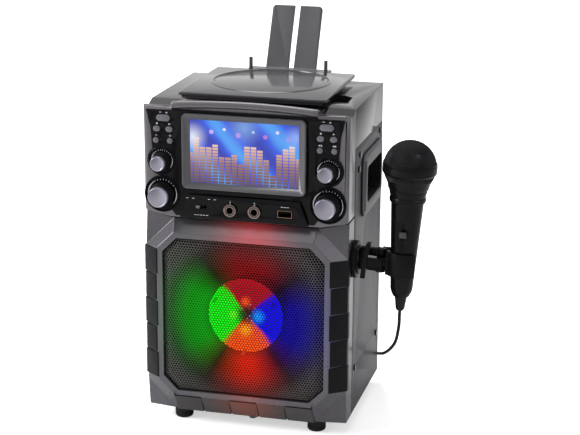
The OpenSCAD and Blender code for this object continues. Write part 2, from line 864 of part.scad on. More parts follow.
module speaker_basket() {
  color("#3c3b3f")
    difference() {
      speaker_turn()
        polygon([[spk_r - 8, -2.5], [spk_r + 4, -2.5], [spk_r + 4, 0], [spk_r - 6.4, 0],
          [spk_r - 8, 12], [36, 38], [36, 42], [15, 42], [15, 40], [33, 40], [33, 37],
          [spk_r - 11, 10]]);
      for (a = [0:60:300]) {
        translate([0, 0, spk_z]) rotate([0, a, 0]) box([-9, 14, 30], [9, 34, 60]);
      }
    }
}

module speaker_cone() {
  color("#232226")
    speaker_turn()
      polygon([[spk_r - 8.9, 0], [spk_r - 8.9, -1.2], [spk_r - 12, -4], [spk_r - 16, -1.2],
        [20, 20], [14, 17], [0, 14], [0, 15], [13.6, 18], [13.6, 43], [14.4, 43], [14.4, 20.6],
        [20, 21.6], [spk_r - 15.6, 0.4], [spk_r - 12, -2.8], [spk_r - 9.6, 0]]);
}

module speaker_magnet() {
  color("#4b4a4d")
    speaker_turn()
      polygon([[15, 42], [34, 42], [34, 60], [30, 63], [0, 63], [0, 37], [13, 37], [13, 45],
        [15, 45]]);
}

// Reflector dish with its four lamps, hung on the grille's back by three posts
dish_gap = 9.5;   // between the grille's back and the dish
dish_zc = rim_zc + 1.8;

module light_dish() {
  y0 = grille_y + grille_t;
  color("#b7c3d0") {
    translate([0, y0 + dish_gap, dish_zc]) rotate([-90, 0, 0])
      rotate_extrude($fn = 96)
        polygon([[disc_r, 0], [disc_r, 1.2], [disc_r - 6, 5], [24, 7], [0, 7], [0, 5.8],
          [23.6, 5.8], [disc_r - 6.6, 3.8], [disc_r - 1.4, 0]]);
    for (a = [30, 150, 270]) {
      x = (disc_r - 3.4) * cos(a);
      z = rim_zc + (disc_r - 3.4) * sin(a);
      bar_y(x, z, 1.6, y0, y0 + dish_gap + 3.7);
    }
  }
}

module light_board() {
  y0 = grille_y + grille_t + dish_gap + 5.8;
  color("#f2f2ee") {
    difference() {
      bar_y(0, dish_zc, 20, y0 - 1.2, y0);
      bar_y(0, dish_zc, 8, y0 - 1.2 - cut, y0 + cut);
    }
    for (a = [0:90:270]) {
      bar_y(14 * cos(a), dish_zc + 14 * sin(a), 2.5, y0 - 3, y0 - 1.2 + eps);
    }
  }
}

// Boards

module main_board() {
  z0 = base_z + wall + 6;
  color("#2e6b45") {
    box([-70, baffle_t + 30, z0], [70, body_d - 30, z0 + 1.6]);
    for (x = [-60, 60], y = [baffle_t + 36, body_d - 36]) {
      translate([x, y, base_z + wall]) cylinder(h = 6, r = 3);
    }
    box([-50, 60, z0 + 1.6 - eps], [-24, 86, z0 + 14]);
    translate([10, 72, z0 + 1.6 - eps]) cylinder(h = 20, r = 8);
    translate([34, 72, z0 + 1.6 - eps]) cylinder(h = 20, r = 8);
  }
}

// Disc player

module disc_chassis() {
  top = well_z - 2;
  far = sled_far;
  color("#3a3a3e") {
    difference() {
      box([-26, disc_y - 25, top - 3], [far, disc_y + 25, top]);
      translate([0, disc_y, top - 3 - cut]) cylinder(h = 6, r = 17.5);
      box([sled_from - 12, disc_y - 12.5, top - 3 - cut], [far - 3.5, disc_y + 12.5, top + cut]);
    }
    for (s = [-1, 1]) {
      bar_x(sled_from - 10, far - 1, disc_y + s * rod_gap, rod_z, rod_r);
      for (x = [sled_from - 10, far - 3]) {
        box([x, disc_y + s * rod_gap - 3, rod_z - 3], [x + 3, disc_y + s * rod_gap + 3, top - 3 + eps]);
      }
    }
    difference() {
      for (x = [sled_from - 10, far - 3]) {
        box([x, disc_y + 19, rod_z - 3], [x + 3, disc_y + 25, top - 3 + eps]);
      }
      bar_x(sled_from - 12, far + cut, disc_y + 22, rod_z, screw_r + run_fit);
    }
    difference() {
      box([-20, disc_y - 20, well_z - 13], [9, disc_y + 20, well_z - 11.2]);
      translate([0, disc_y, well_z - 14]) cylinder(h = 4, r = 5);
    }
    for (s = [-1, 1]) {
      box([-20, disc_y + s * 19 - 2, well_z - 11.2 - eps], [-14, disc_y + s * 19 + 2, top - 3 + eps]);
    }
  }
}

module spindle_motor() {
  color("#b9b7b4") {
    difference() {
      translate([0, disc_y, well_z - 11.2]) cylinder(h = 8, r = 11.5);
      translate([0, disc_y, well_z - 11.2 + 1]) cylinder(h = 8, r = 1.2 + run_fit);
    }
    translate([0, disc_y, well_z - 14.4]) cylinder(h = 3.3, r = 4.6);
  }
}

// Turntable with its centring hub and spindle
module turntable() {
  color("#2d2d31") {
    translate([0, disc_y, well_z - 2]) rotate_extrude()
      polygon([[0, 0], [14, 0], [16, 1.5], [16, 7], [hub_d / 2, 7], [hub_d / 2, 9.6],
        [hub_d / 2 - 1.6, 11.5], [0, 11.5]]);
    translate([0, disc_y, well_z - 9.6]) cylinder(h = 7.6 + eps, r = 1.2);
  }
}

module optical_sled() {
  x0 = sled_from - 6;
  color("#1f2a44") {
    difference() {
      union() {
        box([x0, disc_y - 11.8, rod_z - 2.5], [x0 + 18, disc_y + 11.8, well_z - 2.5]);
        for (s = [-1, 1]) {
          box([x0, disc_y + s * rod_gap - 3.3, rod_z - 2.5], [x0 + 18, disc_y + s * rod_gap + 3.3, rod_z + 2.5]);
        }
        box([x0 + 5, disc_y + 18, rod_z - 2.5], [x0 + 13, disc_y + 25, rod_z + 2.5]);
      }
      bar_x(x0, x0 + 18, disc_y + 22, rod_z, screw_r + run_fit);
      for (s = [-1, 1]) bar_x(x0 - cut, x0 + 18 + cut, disc_y + s * rod_gap, rod_z, rod_r + run_fit);
    }
    translate([x0 + 9, disc_y, well_z - 2.5 - eps]) cylinder(h = 2, r = 3);
  }
}

module sled_screw() {
  color("#d0cec9")
    bar_x(sled_from - 11, sled_far + 1, disc_y + 22, rod_z, screw_r);
}

module lid_hinge_pins() {
  half = hinge_w / 2 + fit + lug_w;
  color("#c5c3c0")
    both_sides() bar_x(hinge_x - half, hinge_x + half, hinge_y, hinge_z, hinge_pin_r - 0.02);
}

module disc_lid() {
  color("#9a979b")
    difference() {
      union() {
        translate([0, (lid_front + lid_back) / 2, lid_z])
          linear_extrude(lid_t) round_rect(lid_w, lid_back - lid_front, 4);
        translate([0, lid_front + 2.2, lid_z - 2.5])
          linear_extrude(2.5 + eps) square([lid_w - 8, 2.4], center = true);
        translate([0, disc_y, lid_z + lid_t - eps]) rotate_extrude($fn = 128)
          polygon([[58.2, 0], [60, 0], [59.6, 0.7], [58.6, 0.7]]);
        both_sides() {
          bar_x(hinge_x - hinge_w / 2, hinge_x + hinge_w / 2, hinge_y, hinge_z, knuckle_r);
          box([hinge_x - hinge_w / 2, hinge_y - knuckle_r, hinge_z],
            [hinge_x + hinge_w / 2, hinge_y + knuckle_r * 0.6, lid_z + eps]);
        }
      }
      bar_x(-hinge_x - 5, -hinge_x + 5, hinge_y, hinge_z, hinge_pin_r + 0.03);
      bar_x(hinge_x - 5, hinge_x + 5, hinge_y, hinge_z, hinge_pin_r + 0.03);
    }
}

// Cradle behind the lid: ledge with two hooks, two leaning back plates and a stem

module cradle() {
  color("#48474b") {
    difference() {
      union() {
        box([-44, cradle_y, ledge_z], [44, cradle_y + 14, ledge_z + 3]);
        for (s = [-1, 1]) {
          box([s * 40.5 - 1.8, cradle_y, ledge_z + 3 - eps], [s * 40.5 + 1.8, cradle_y + 2.6, ledge_z + 15]);
          translate([s * (plate_w / 2 + 3), cradle_y + 12.5, ledge_z + 1.5])
            rotate([-plate_lean, 0, 0]) back_plate(s);
        }
        box([-stem_w / 2, cradle_y, ledge_z - cradle_travel - 42],
          [stem_w / 2, cradle_y + stem_t, ledge_z + eps]);
      }
      for (s = [-1, 1]) {
        box([s * 40.5 - 3, cradle_y + 2.6, ledge_z + 3], [s * 40.5 + 3, cradle_y + 10, ledge_z + 16]);
      }
    }
  }
}

// One back plate with a round outer top corner
module back_plate(s) {
  r = 4;
  rotate([90, 0, 0]) translate([0, 0, -1.6]) linear_extrude(3.2) {
    translate([-plate_w / 2, 0]) square([plate_w, plate_len - r]);
    translate([s > 0 ? -plate_w / 2 : -plate_w / 2 + r, 0]) square([plate_w - r, plate_len]);
    translate([s * (plate_w / 2 - r), plate_len - r]) circle(r);
  }
}

// Clip on the cabinet's side

module clip_base() {
  color("#1d1c20") {
    difference() {
      union() {
        bar_x(hx, hx + 5, -1, jaw_z, 18.5);
        bar_x(hx + 5 - eps, hx + 7, -1, jaw_z, 14.5);
        clip_frame() {
          box([-clip_reach + 7, -arm_half, -11], [pivot_x - 3, arm_half, 11]);
          clip_ear(-jaw_h / 2, -4.3);
          clip_ear(4.3, jaw_h / 2);
          jaw_arc(1);
          for (s = [-1, 1])
            box([pivot_x, 3.2, s > 0 ? 4.3 : -jaw_h / 2], [-jaw_r + 0.6, 7.5, s > 0 ? jaw_h / 2 : -4.3]);
        }
      }
      clip_frame() {
        translate([pivot_x, 0, -13]) cylinder(h = 26, r = clip_pin_r);
        translate([pivot_x, 0, -4.2]) cylinder(h = 8.4, r = clip_hub_r + 0.5);
        box([pivot_x - 16, -6, -4.2], [pivot_x, 6, 4.2]);
        translate([0, 0, -jaw_h]) cylinder(h = 2 * jaw_h, r = jaw_r);
      }
    }
  }
}

module clip_ear(z0, z1) {
  translate([pivot_x, 0, z0]) cylinder(h = z1 - z0, r = clip_hub_r);
  box([pivot_x - 4, -arm_half, z0], [pivot_x, arm_half, z1]);
}

// A jaw: an arc round the microphone on the side s, from the pivot outwards
module jaw_arc(s) {
  h0 = -jaw_h / 2;
  difference() {
    translate([0, 0, h0]) cylinder(h = jaw_h, r = jaw_r + jaw_t);
    translate([0, 0, h0 - cut]) cylinder(h = jaw_h + 2 * cut, r = jaw_r);
    box([-40, s > 0 ? -40 : -3.2, h0 - cut], [40, s > 0 ? 3.2 : 40, -h0 + cut]);
    translate([0, 0, h0 - cut]) rotate([0, 0, s > 0 ? -25 : -35])
      cube([40, 40, jaw_h + 2 * cut]);
  }
}

module clip_jaw() {
  clip_frame()
    color("#26252a")
      difference() {
        union() {
          translate([pivot_x, 0, -4]) cylinder(h = 8, r = clip_hub_r);
          jaw_front();
          lever();
        }
        translate([pivot_x, 0, -13]) cylinder(h = 26, r = clip_pin_r + run_fit);
        translate([0, 0, -jaw_h]) cylinder(h = 2 * jaw_h, r = jaw_r);
      }
}

module jaw_front() {
  jaw_arc(-1);
  box([pivot_x, -8, -4], [-jaw_r + 1, -3.2, 4]);
  box([-jaw_r - 2.4, -9, -jaw_h / 2], [-jaw_r + 1.2, -3.2, jaw_h / 2]);
}

module lever() {
  box([pivot_x - 3, -11, -4], [pivot_x + 3, 0, 4]);
  box([pivot_x - 15, -12.5, -4], [pivot_x + 3, -9, 4]);
  translate([0, -9, 0]) plate(-8, 0)
    polygon([[pivot_x - 17, -16], [pivot_x - 12, -16], [pivot_x - 11.5, 2], [pivot_x - 8, 20],
      [pivot_x - 12.5, 20], [pivot_x - 16, 2]]);
}

module clip_pin() {
  color("#bdbbb8") clip_frame() translate([pivot_x, 0, -13]) cylinder(h = 26, r = clip_pin_r);
}

// Microphone

module mic_turn() {
  clip_frame() rotate_extrude($fn = 96) children();
}

switch_z = 27;      // height of the microphone's switch panel above the jaws' middle
switch_r = mic_r_low + (mic_r_top - mic_r_low) * (switch_z - mic_bot - 9) / (mic_body_len - 21);
switch_floor = -switch_r + 2.4;

module mic_body() {
  top = mic_bot + mic_body_len;
  color("#17161a")
    clip_frame()
      difference() {
        rotate_extrude($fn = 96)
          polygon([[0, mic_bot], [6.5, mic_bot], [8, mic_bot + 1], [mic_r_low - 0.6, mic_bot + 6],
            [mic_r_low, mic_bot + 9], [mic_r_top, top - 12], [mic_r_top + 2, top - 4],
            [mic_r_top + 2.6, top - 1.5], [mic_r_top + 2.6, top], [0, top]]);
        translate([0, 0, switch_z]) plate(-switch_r - 5, switch_floor) round_rect(15, 38, 4);
        box([-1.5, switch_floor - cut, switch_z - 1], [1.5, switch_floor + 2, switch_z + 15]);
      }
}

module mic_switch() {
  color("#3b3a3f")
    clip_frame() {
      box([-3.4, -switch_r - 0.6, switch_z + 1.5], [3.4, switch_floor - 0.2, switch_z + 7.5]);
      box([-1.2, switch_floor - 0.2 - eps, switch_z + 2.5], [1.2, switch_floor + 1.6, switch_z + 6.5]);
    }
}

module mic_head() {
  r = mic_head_d / 2;
  low = mic_bot + mic_body_len;
  color("#4a494d")
    mic_turn()
      polygon(concat([[0, low], [mic_r_top + 3, low], [r - 6.5, head_c - 13], [r - 1.4, head_c - 6],
        [r + 0.4, head_c - 4.5], [r + 0.4, head_c + 4.5], [r - 0.9, head_c + 5.5]],
        [for (a = [16:8:90]) [(r - 0.6) * cos(a), head_c + (r - 0.6) * sin(a)]]));
}

module mic_relief() {
  color("#1c1c1f")
    mic_turn()
      polygon([[0, mic_bot], [6.2, mic_bot], [5.2, mic_bot - 6], [4.4, mic_bot - relief_len + 1.5],
        [3.4, mic_bot - relief_len], [0, mic_bot - relief_len]]);
}

// Cord

// Where the cord leaves the strain relief
drop_top = [mic_x - (jaw_to_end + relief_len) * sin(mic_lean), 0,
  jaw_z - (jaw_to_end + relief_len) * cos(mic_lean)];
drop_dir = [-sin(mic_lean), 0, -cos(mic_lean)];
coil_z0 = cord_r + 0.02;
coil_top = coil_z0 + (coil_layers - 1) * coil_climb;
coil_start = [coil_c[0] + coil_r_out, coil_c[1], coil_top];
DROP_POINTS = [[149, 4, 112], [144, 16, 92], [132, 50, 70], [115, 105, 44], [101, 145, 28],
  [84, 164, 19], [64, 176, 15]];
TAIL_POINTS = [[-13, 181, 1.8], [-21, 173, 2.1], [-31, 173, 2.8], [-38, 182, 3.7], [-40, 195, 4.6],
  [-41, 206, 4.9]];

// A smooth curve through the points: Catmull-Rom, n steps a span
function cr(p0, p1, p2, p3, t) = 0.5 * ((2 * p1) + (p2 - p0) * t
  + (2 * p0 - 5 * p1 + 4 * p2 - p3) * t * t + (3 * p1 - p0 - 3 * p2 + p3) * t * t * t);
function smooth(p, n) = let(m = len(p) - 1) concat(
  [for (i = [0:m - 1], k = [0:n - 1]) cr(p[max(i - 1, 0)], p[i], p[i + 1], p[min(i + 2, m)], k / n)],
  [p[m]]);
function unit(v) = v / norm(v);

// Rings of a tube along a path, square to it, with steady side directions
function along(p, i) = unit(p[min(i + 1, len(p) - 1)] - p[max(i - 1, 0)]);
function carry(t, s) = unit(s - (s * t) * t);
function frames(p, s) = [for (i = 0, n = carry(along(p, 0), s); i < len(p);
  i = i + 1, n = i < len(p) ? carry(along(p, i), n) : n) n];

module tube(path, r, sides, first_side) {
  n = len(path);
  side = frames(path, first_side);
  pts = [for (i = [0:n - 1], k = [0:sides - 1])
    let(t = along(path, i), u = side[i], v = cross(t, u), a = 360 * k / sides)
      path[i] + r * (cos(a) * u + sin(a) * v)];
  faces = concat(
    [[for (k = [sides - 1:-1:0]) k]],
    [[for (k = [0:sides - 1]) (n - 1) * sides + k]],
    [for (i = [0:n - 2], k = [0:sides - 1])
      let(a = i * sides + k, b = i * sides + (k + 1) % sides) [a, b, b + sides]],
    [for (i = [0:n - 2], k = [0:sides - 1])
      let(a = i * sides + k, b = i * sides + (k + 1) % sides) [a, b + sides, a + sides]]);
  polyhedron(points = pts, faces = faces);
}

// The coil starts outside on its top layer. Each layer spirals in or out, and the cord
// comes down a layer in the half turn where the spiral reverses.
coil_spiral = coil_loops - 0.5;
coil_r_in = coil_r_out - coil_pitch * coil_spiral;
function layer_of(t) = min(floor(t / coil_loops), coil_layers - 1);
function layer_turn(t) = t - layer_of(t) * coil_loops;
function coil_radius(t) = let(run = min(layer_turn(t), coil_spiral) * coil_pitch)
  layer_of(t) % 2 == 0 ? coil_r_out - run : coil_r_in + run;
function coil_height(t) = coil_top - coil_climb * (layer_of(t) + max(0, layer_turn(t) - coil_spiral) * 2
  * (layer_of(t) < coil_layers - 1 ? 1 : 0));
function coil_point(t) = [coil_c[0] + coil_radius(t) * cos(360 * t),
  coil_c[1] + coil_radius(t) * sin(360 * t), coil_height(t)];
coil_dir = unit(coil_point(1 / coil_rings) - coil_point(0));
coil_turns = coil_layers * coil_loops - 0.5;
coil_path = [for (i = [0:coil_turns * coil_rings]) coil_point(i / coil_rings)];
coil_end = coil_path[len(coil_path) - 1];
coil_end_dir = unit(coil_end - coil_path[len(coil_path) - 2]);

function path_length(p) = len(p) < 2 ? 0 : [for (i = 1, s = 0; i <= len(p);
  s = i < len(p) ? s + norm(p[i] - p[i - 1]) : s, i = i + 1) s][len(p) - 1];

// Least distance between stretches of the coil that are half a loop or more apart
function least_gap(p) = min([for (i = [0:len(p) - 1], j = [i + coil_rings / 2:len(p) - 1])
  norm(p[i] - p[j])]) - cord_d;

drop_path = concat([drop_top, drop_top + drop_dir * cord_d],
  smooth(concat([drop_top + drop_dir * 2 * cord_d], DROP_POINTS, [coil_start - coil_dir * 2 * cord_d]), 7),
  [coil_start]);
tail_path = concat([coil_end], smooth(concat([coil_end + coil_end_dir * cord_d], TAIL_POINTS), 4));
tail_end = tail_path[len(tail_path) - 1];
tail_dir = unit(tail_end - tail_path[len(tail_path) - 2]);

module cord_drop() {
  color("#161618") {
    tube(drop_path, cord_r, 8, [0, 1, 0]);
    tube(tail_path, cord_r, 8, [0, 0, 1]);
  }
}

module cord_coil() {
  echo(coil_least_gap = least_gap(coil_path), coil_length = path_length(coil_path),
    drop_length = path_length(drop_path), tail_length = path_length(tail_path));
  color("#161618") tube(coil_path, cord_r, 6, [1, 0, 0]);
}

module mic_plug() {
  yaw = atan2(tail_dir[1], tail_dir[0]);
  color("#c9c7c2")
    translate(tail_end) rotate([0, 0, yaw]) rotate([0, 90, 0]) translate([0, 0, 0.1])
      rotate_extrude()
        polygon([[0, 0], [2.6, 0], [3.6, 8], [3.6, 10], [4.8, 11], [4.8, 34], [4, 35], [3.17, 35],
          [3.17, 60], [2.4, 62], [3.1, 64], [1.2, 66.5], [0, 66.5]]);
}

cabinet_shell();
top_cover();
rear_panel();
baffle();
fascia();
fascia_overlay();
display_frame();
display_panel();
socket_panel();
speaker_bezel();
grip_blocks();
grille();
speaker_basket();
speaker_cone();
speaker_magnet();
light_dish();
light_board();
handle_cups();
feet();
case_screws();
main_board();
front_board();
control_pots();
tact_switches();
mic_jacks();
usb_socket();
rear_sockets();
disc_chassis();
spindle_motor();
lid_hinge_pins();
disc_lid();
turntable();
optical_sled();
sled_screw();
knob_upper_left();
knob_lower_left();
knob_upper_right();
knob_lower_right();
bar_button_left();
oval_button_left_outer();
oval_button_left_inner();
round_button_left_outer();
round_button_left_inner();
bar_button_right();
oval_button_right_inner();
oval_button_right_outer();
round_button_right_inner();
round_button_right_outer();
mode_slider();
cradle();
clip_base();
clip_jaw();
clip_pin();
mic_body();
mic_head();
mic_switch();
mic_relief();
cord_drop();
cord_coil();
mic_plug();
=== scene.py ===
import bpy
import json
from math import atan2, cos, hypot, pi, radians, sin, sqrt
from mathutils import Matrix, Vector


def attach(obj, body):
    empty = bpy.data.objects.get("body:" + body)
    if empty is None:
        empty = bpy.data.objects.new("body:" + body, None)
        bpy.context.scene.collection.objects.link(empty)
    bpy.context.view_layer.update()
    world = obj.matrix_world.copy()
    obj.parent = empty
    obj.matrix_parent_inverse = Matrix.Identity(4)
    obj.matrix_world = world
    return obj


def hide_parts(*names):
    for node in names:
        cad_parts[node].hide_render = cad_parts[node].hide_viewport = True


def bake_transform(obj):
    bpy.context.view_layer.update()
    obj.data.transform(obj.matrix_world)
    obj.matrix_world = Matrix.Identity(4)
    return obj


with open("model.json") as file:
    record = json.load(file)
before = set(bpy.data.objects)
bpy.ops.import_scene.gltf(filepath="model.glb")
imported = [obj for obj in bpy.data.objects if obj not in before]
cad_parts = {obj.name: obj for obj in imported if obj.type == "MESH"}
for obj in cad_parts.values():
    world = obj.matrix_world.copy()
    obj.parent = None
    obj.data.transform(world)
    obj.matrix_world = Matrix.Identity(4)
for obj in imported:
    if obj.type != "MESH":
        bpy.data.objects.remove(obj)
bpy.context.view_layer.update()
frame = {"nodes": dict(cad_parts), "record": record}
node = frame["nodes"]
body_of_node = {n: b for b, ns in frame["record"]["behaviour"]["bodies"].items() for n in ns}
scene = bpy.context.scene
mm = 0.001


# Viewpoint. The machine is seen from its front right corner and a little from above,
# through a long lens, as in a catalogue picture.
turn = (Matrix.Rotation(radians(14.208), 4, "Z") @ Matrix.Rotation(radians(90 - 15.916), 4, "X")
        @ Matrix.Rotation(radians(0.384), 4, "Z"))
bpy.ops.object.camera_add(location=(0.42815, -1.54059, 0.67006), rotation=turn.to_euler())
camera = bpy.context.object
camera.data.lens = 103.9
camera.data.sensor_width = 36
scene.camera = camera
scene.view_settings.view_transform = "Standard"


# Studio. A white sweep under three large soft lamps; the room is white to the eye, and
# gives a weaker, even light of its own.
def tone(r, g, b):
    """A colour as it looks on a screen, 0 to 255, for a shader socket"""
    def channel(c):
        c = c / 255
        return c / 12.92 if c <= 0.04045 else ((c + 0.055) / 1.055) ** 2.4
    return (channel(r), channel(g), channel(b), 1)


world = bpy.data.worlds.new("white_room")
scene.world = world
world.use_nodes = True
tree = world.node_tree
tree.nodes.clear()
seen = tree.nodes.new("ShaderNodeBackground")
seen.inputs["Color"].default_value = (1, 1, 1, 1)
seen.inputs["Strength"].default_value = 1
given = tree.nodes.new("ShaderNodeBackground")
given.inputs["Color"].default_value = (0.96, 0.98, 1, 1)
given.inputs["Strength"].default_value = 0.3
ray = tree.nodes.new("ShaderNodeLightPath")
either = tree.nodes.new("ShaderNodeMath")
either.operation = "MAXIMUM"
any_of = tree.nodes.new("ShaderNodeMath")
any_of.operation = "MAXIMUM"
mix = tree.nodes.new("ShaderNodeMixShader")
out = tree.nodes.new("ShaderNodeOutputWorld")
tree.links.new(ray.outputs["Is Camera Ray"], either.inputs[0])
tree.links.new(ray.outputs["Is Transmission Ray"], either.inputs[1])
tree.links.new(either.outputs[0], any_of.inputs[0])
tree.links.new(ray.outputs["Is Glossy Ray"], any_of.inputs[1])
tree.links.new(any_of.outputs[0], mix.inputs[0])
tree.links.new(given.outputs[0], mix.inputs[1])
tree.links.new(seen.outputs[0], mix.inputs[2])
tree.links.new(mix.outputs[0], out.inputs["Surface"])

for name, place, size, power in (("soft_left", (-2.1, -0.9, 1.2), 1.1, 62),
                                 ("soft_right", (2.0, -0.5, 1.1), 1.2, 9),
                                 ("soft_top", (-0.3, 0.3, 2.1), 1.4, 38)):
    bpy.ops.object.light_add(type="AREA", location=place)
    lamp = bpy.context.object
    lamp.name = name
    lamp.data.size = size
    lamp.data.energy = power
    lamp.rotation_euler = (Vector((0, 0.05, 0.15)) - Vector(place)).to_track_quat("-Z", "Y").to_euler()

bpy.ops.mesh.primitive_plane_add(size=30, location=(0, 0, -0.0004))
floor = bpy.context.object
floor.name = "floor"
white = bpy.data.materials.new("floor_white")
white.use_nodes = True
tree = white.node_tree
shader = tree.nodes["Principled BSDF"]
shader.inputs["Base Color"].default_value = (0.93, 0.93, 0.93, 1)
shader.inputs["Roughness"].default_value = 0.9
shader.inputs["Specular IOR Level"].default_value = 0.1
shader.inputs["Emission Color"].default_value = (1, 1, 1, 1)
ray = tree.nodes.new("ShaderNodeLightPath")
place = tree.nodes.new("ShaderNodeTexCoord")
away = tree.nodes.new("ShaderNodeVectorMath")
away.operation = "LENGTH"
far = tree.nodes.new("ShaderNodeMapRange")
far.inputs["From Min"].default_value = 0.25
far.inputs["From Max"].default_value = 1.1
far.inputs["To Min"].default_value = 0.55
far.inputs["To Max"].default_value = 1
lift = tree.nodes.new("ShaderNodeMath")
lift.operation = "MULTIPLY"
tree.links.new(place.outputs["Object"], away.inputs[0])
tree.links.new(away.outputs["Value"], far.inputs["Value"])
tree.links.new(ray.outputs["Is Camera Ray"], lift.inputs[0])
tree.links.new(far.outputs["Result"], lift.inputs[1])
tree.links.new(lift.outputs[0], shader.inputs["Emission Strength"])
floor.data.materials.append(white)


# Microphone cord. Round black lead that drops from the strain relief, passes down beside
# and behind the cabinet, and ends in a neat coil and a short loose end on the floor.
def only(piece):
    """Select one object and make it active"""
    bpy.ops.object.select_all(action="DESELECT")
    piece.hide_set(False)
    piece.select_set(True)
    bpy.context.view_layer.objects.active = piece


def moulded(name, colour, rough, grain=0.5, relief=0.12, vary=0.1, metal=0.0, coat=0.0, spec=0.5):
    """A moulded or painted finish: fine grain in the surface, and slow changes of colour and sheen"""
    made = bpy.data.materials.new(name)
    made.use_nodes = True
    t = made.node_tree
    s = t.nodes["Principled BSDF"]
    s.inputs["Metallic"].default_value = metal
    s.inputs["Coat Weight"].default_value = coat
    s.inputs["Coat Roughness"].default_value = 0.06
    s.inputs["Specular IOR Level"].default_value = spec
    place = t.nodes.new("ShaderNodeTexCoord")
    fine = t.nodes.new("ShaderNodeTexNoise")
    fine.inputs["Scale"].default_value = 1000 / grain
    fine.inputs["Detail"].default_value = 3
    slow = t.nodes.new("ShaderNodeTexNoise")
    slow.inputs["Scale"].default_value = 22
    slow.inputs["Detail"].default_value = 5
    bump = t.nodes.new("ShaderNodeBump")
    bump.inputs["Strength"].default_value = relief
    bump.inputs["Distance"].default_value = 0.0002
    ramp = t.nodes.new("ShaderNodeValToRGB")
    ramp.color_ramp.elements[0].position = 0.3
    ramp.color_ramp.elements[1].position = 0.7
    ramp.color_ramp.elements[0].color = [c * (1 - vary) for c in colour[:3]] + [1]
    ramp.color_ramp.elements[1].color = [c * (1 + vary) for c in colour[:3]] + [1]
    sheen = t.nodes.new("ShaderNodeMapRange")
    sheen.inputs["To Min"].default_value = rough * 0.85
    sheen.inputs["To Max"].default_value = min(rough * 1.2, 1)
    for texture in (fine, slow):
        t.links.new(place.outputs["Object"], texture.inputs["Vector"])
    t.links.new(fine.outputs["Fac"], bump.inputs["Height"])
    t.links.new(bump.outputs["Normal"], s.inputs["Normal"])
    t.links.new(slow.outputs["Fac"], ramp.inputs["Fac"])
    t.links.new(ramp.outputs["Color"], s.inputs["Base Color"])
    t.links.new(slow.outputs["Fac"], sheen.inputs["Value"])
    t.links.new(sheen.outputs["Result"], s.inputs["Roughness"])
    return made


def through(points, steps):
    """Points of a smooth line through the given ones"""
    made = []
    last = len(points) - 1
    for i in range(last):
        p0, p1, p2, p3 = (points[max(i - 1, 0)], points[i], points[i + 1], points[min(i + 2, last)])
        for k in range(steps):
            t = k / steps
            made.append(0.5 * ((2 * p1) + (p2 - p0) * t + (2 * p0 - 5 * p1 + 4 * p2 - p3) * t * t
                               + (3 * p1 - p0 - 3 * p2 + p3) * t * t * t))
    return made + [points[last]]


cord_d = 3.4
lean = radians(2.5)  # the microphone's tilt
jaws_x, jaws_z = 152.5, 180  # the middle of the clip's jaws, on the microphone's axis
relief_end = Vector((jaws_x - 49 * sin(lean), 0, jaws_z - 49 * cos(lean)))
down = Vector((-sin(lean), 0, -cos(lean)))
coil_middle = Vector((20, 196, 0))
loops, layers, r_out, pitch, climb = 5, 4, 30, cord_d + 1, cord_d + 0.6
coil_top = cord_d / 2 + 0.02 + (layers - 1) * climb
spiral = loops - 0.5
r_in = r_out - pitch * spiral


def coil_point(turn):
    """A point of the coil after this many turns, wound inwards and outwards layer by layer"""
    layer = min(int(turn // loops), layers - 1)
    within = turn - layer * loops
    run = min(within, spiral) * pitch
    radius = r_out - run if layer % 2 == 0 else r_in + run
    drop = max(0, within - spiral) * 2 if layer < layers - 1 else 0
    return coil_middle + Vector((radius * cos(2 * pi * turn), radius * sin(2 * pi * turn),
                                 coil_top - climb * (layer + drop)))


turns = [i / 24 for i in range(int((layers * loops - 0.5) * 24) + 1)]
coil = [coil_point(t) for t in turns]
into_coil = (coil[1] - coil[0]).normalized()
out_of_coil = (coil[-1] - coil[-2]).normalized()
fall = [relief_end + down * 2 * cord_d] + [Vector(p) for p in (
    (149, 4, 112), (144, 16, 92), (132, 50, 70), (115, 105, 44), (101, 145, 28), (84, 164, 19),
    (64, 176, 15))] + [coil[0] - into_coil * 2 * cord_d]
tail = [coil[-1] + out_of_coil * cord_d] + [Vector(p) for p in (
    (-13, 181, 1.8), (-21, 173, 2.1), (-31, 173, 2.8), (-38, 182, 3.7), (-40, 195, 4.6), (-41, 206, 4.9))]
route = [relief_end, relief_end + down * cord_d] + through(fall, 7) + coil + through(tail, 4)
route = [p * mm for p in route]

line = bpy.data.curves.new("cord_line", "CURVE")
line.dimensions = "3D"
line.bevel_depth = cord_d / 2 * mm
line.bevel_resolution = 3
strand = line.splines.new("POLY")
strand.points.add(len(route) - 1)
for point, place in zip(strand.points, route):
    point.co = (*place, 1)
line.use_fill_caps = True
cord = bpy.data.objects.new("microphone_cord", line)
scene.collection.objects.link(cord)
only(cord)
bpy.ops.object.convert(target="MESH")
cord = bpy.context.object
bpy.ops.object.shade_smooth()
rubber_lead = moulded("black_cord_rubber", tone(22, 22, 24), 0.5, grain=0.8, relief=0.1, spec=0.15)
cord.data.materials.clear()
cord.data.materials.append(rubber_lead)
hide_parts("cord_drop", "cord_coil")
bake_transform(cord)


# Cabinet. Painted board box, grey like the rest; its corners are softened, and the fine
# grain of the paint shows along its sides.
def settled(piece, cad, finish, body=None):
    """Give a finished piece its material, the CAD node it stands for and the body it rides on"""
    piece.data.materials.clear()
    piece.data.materials.append(finish)
    if cad:
        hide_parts(cad)
    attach(piece, body or body_of_node[cad])
    return piece


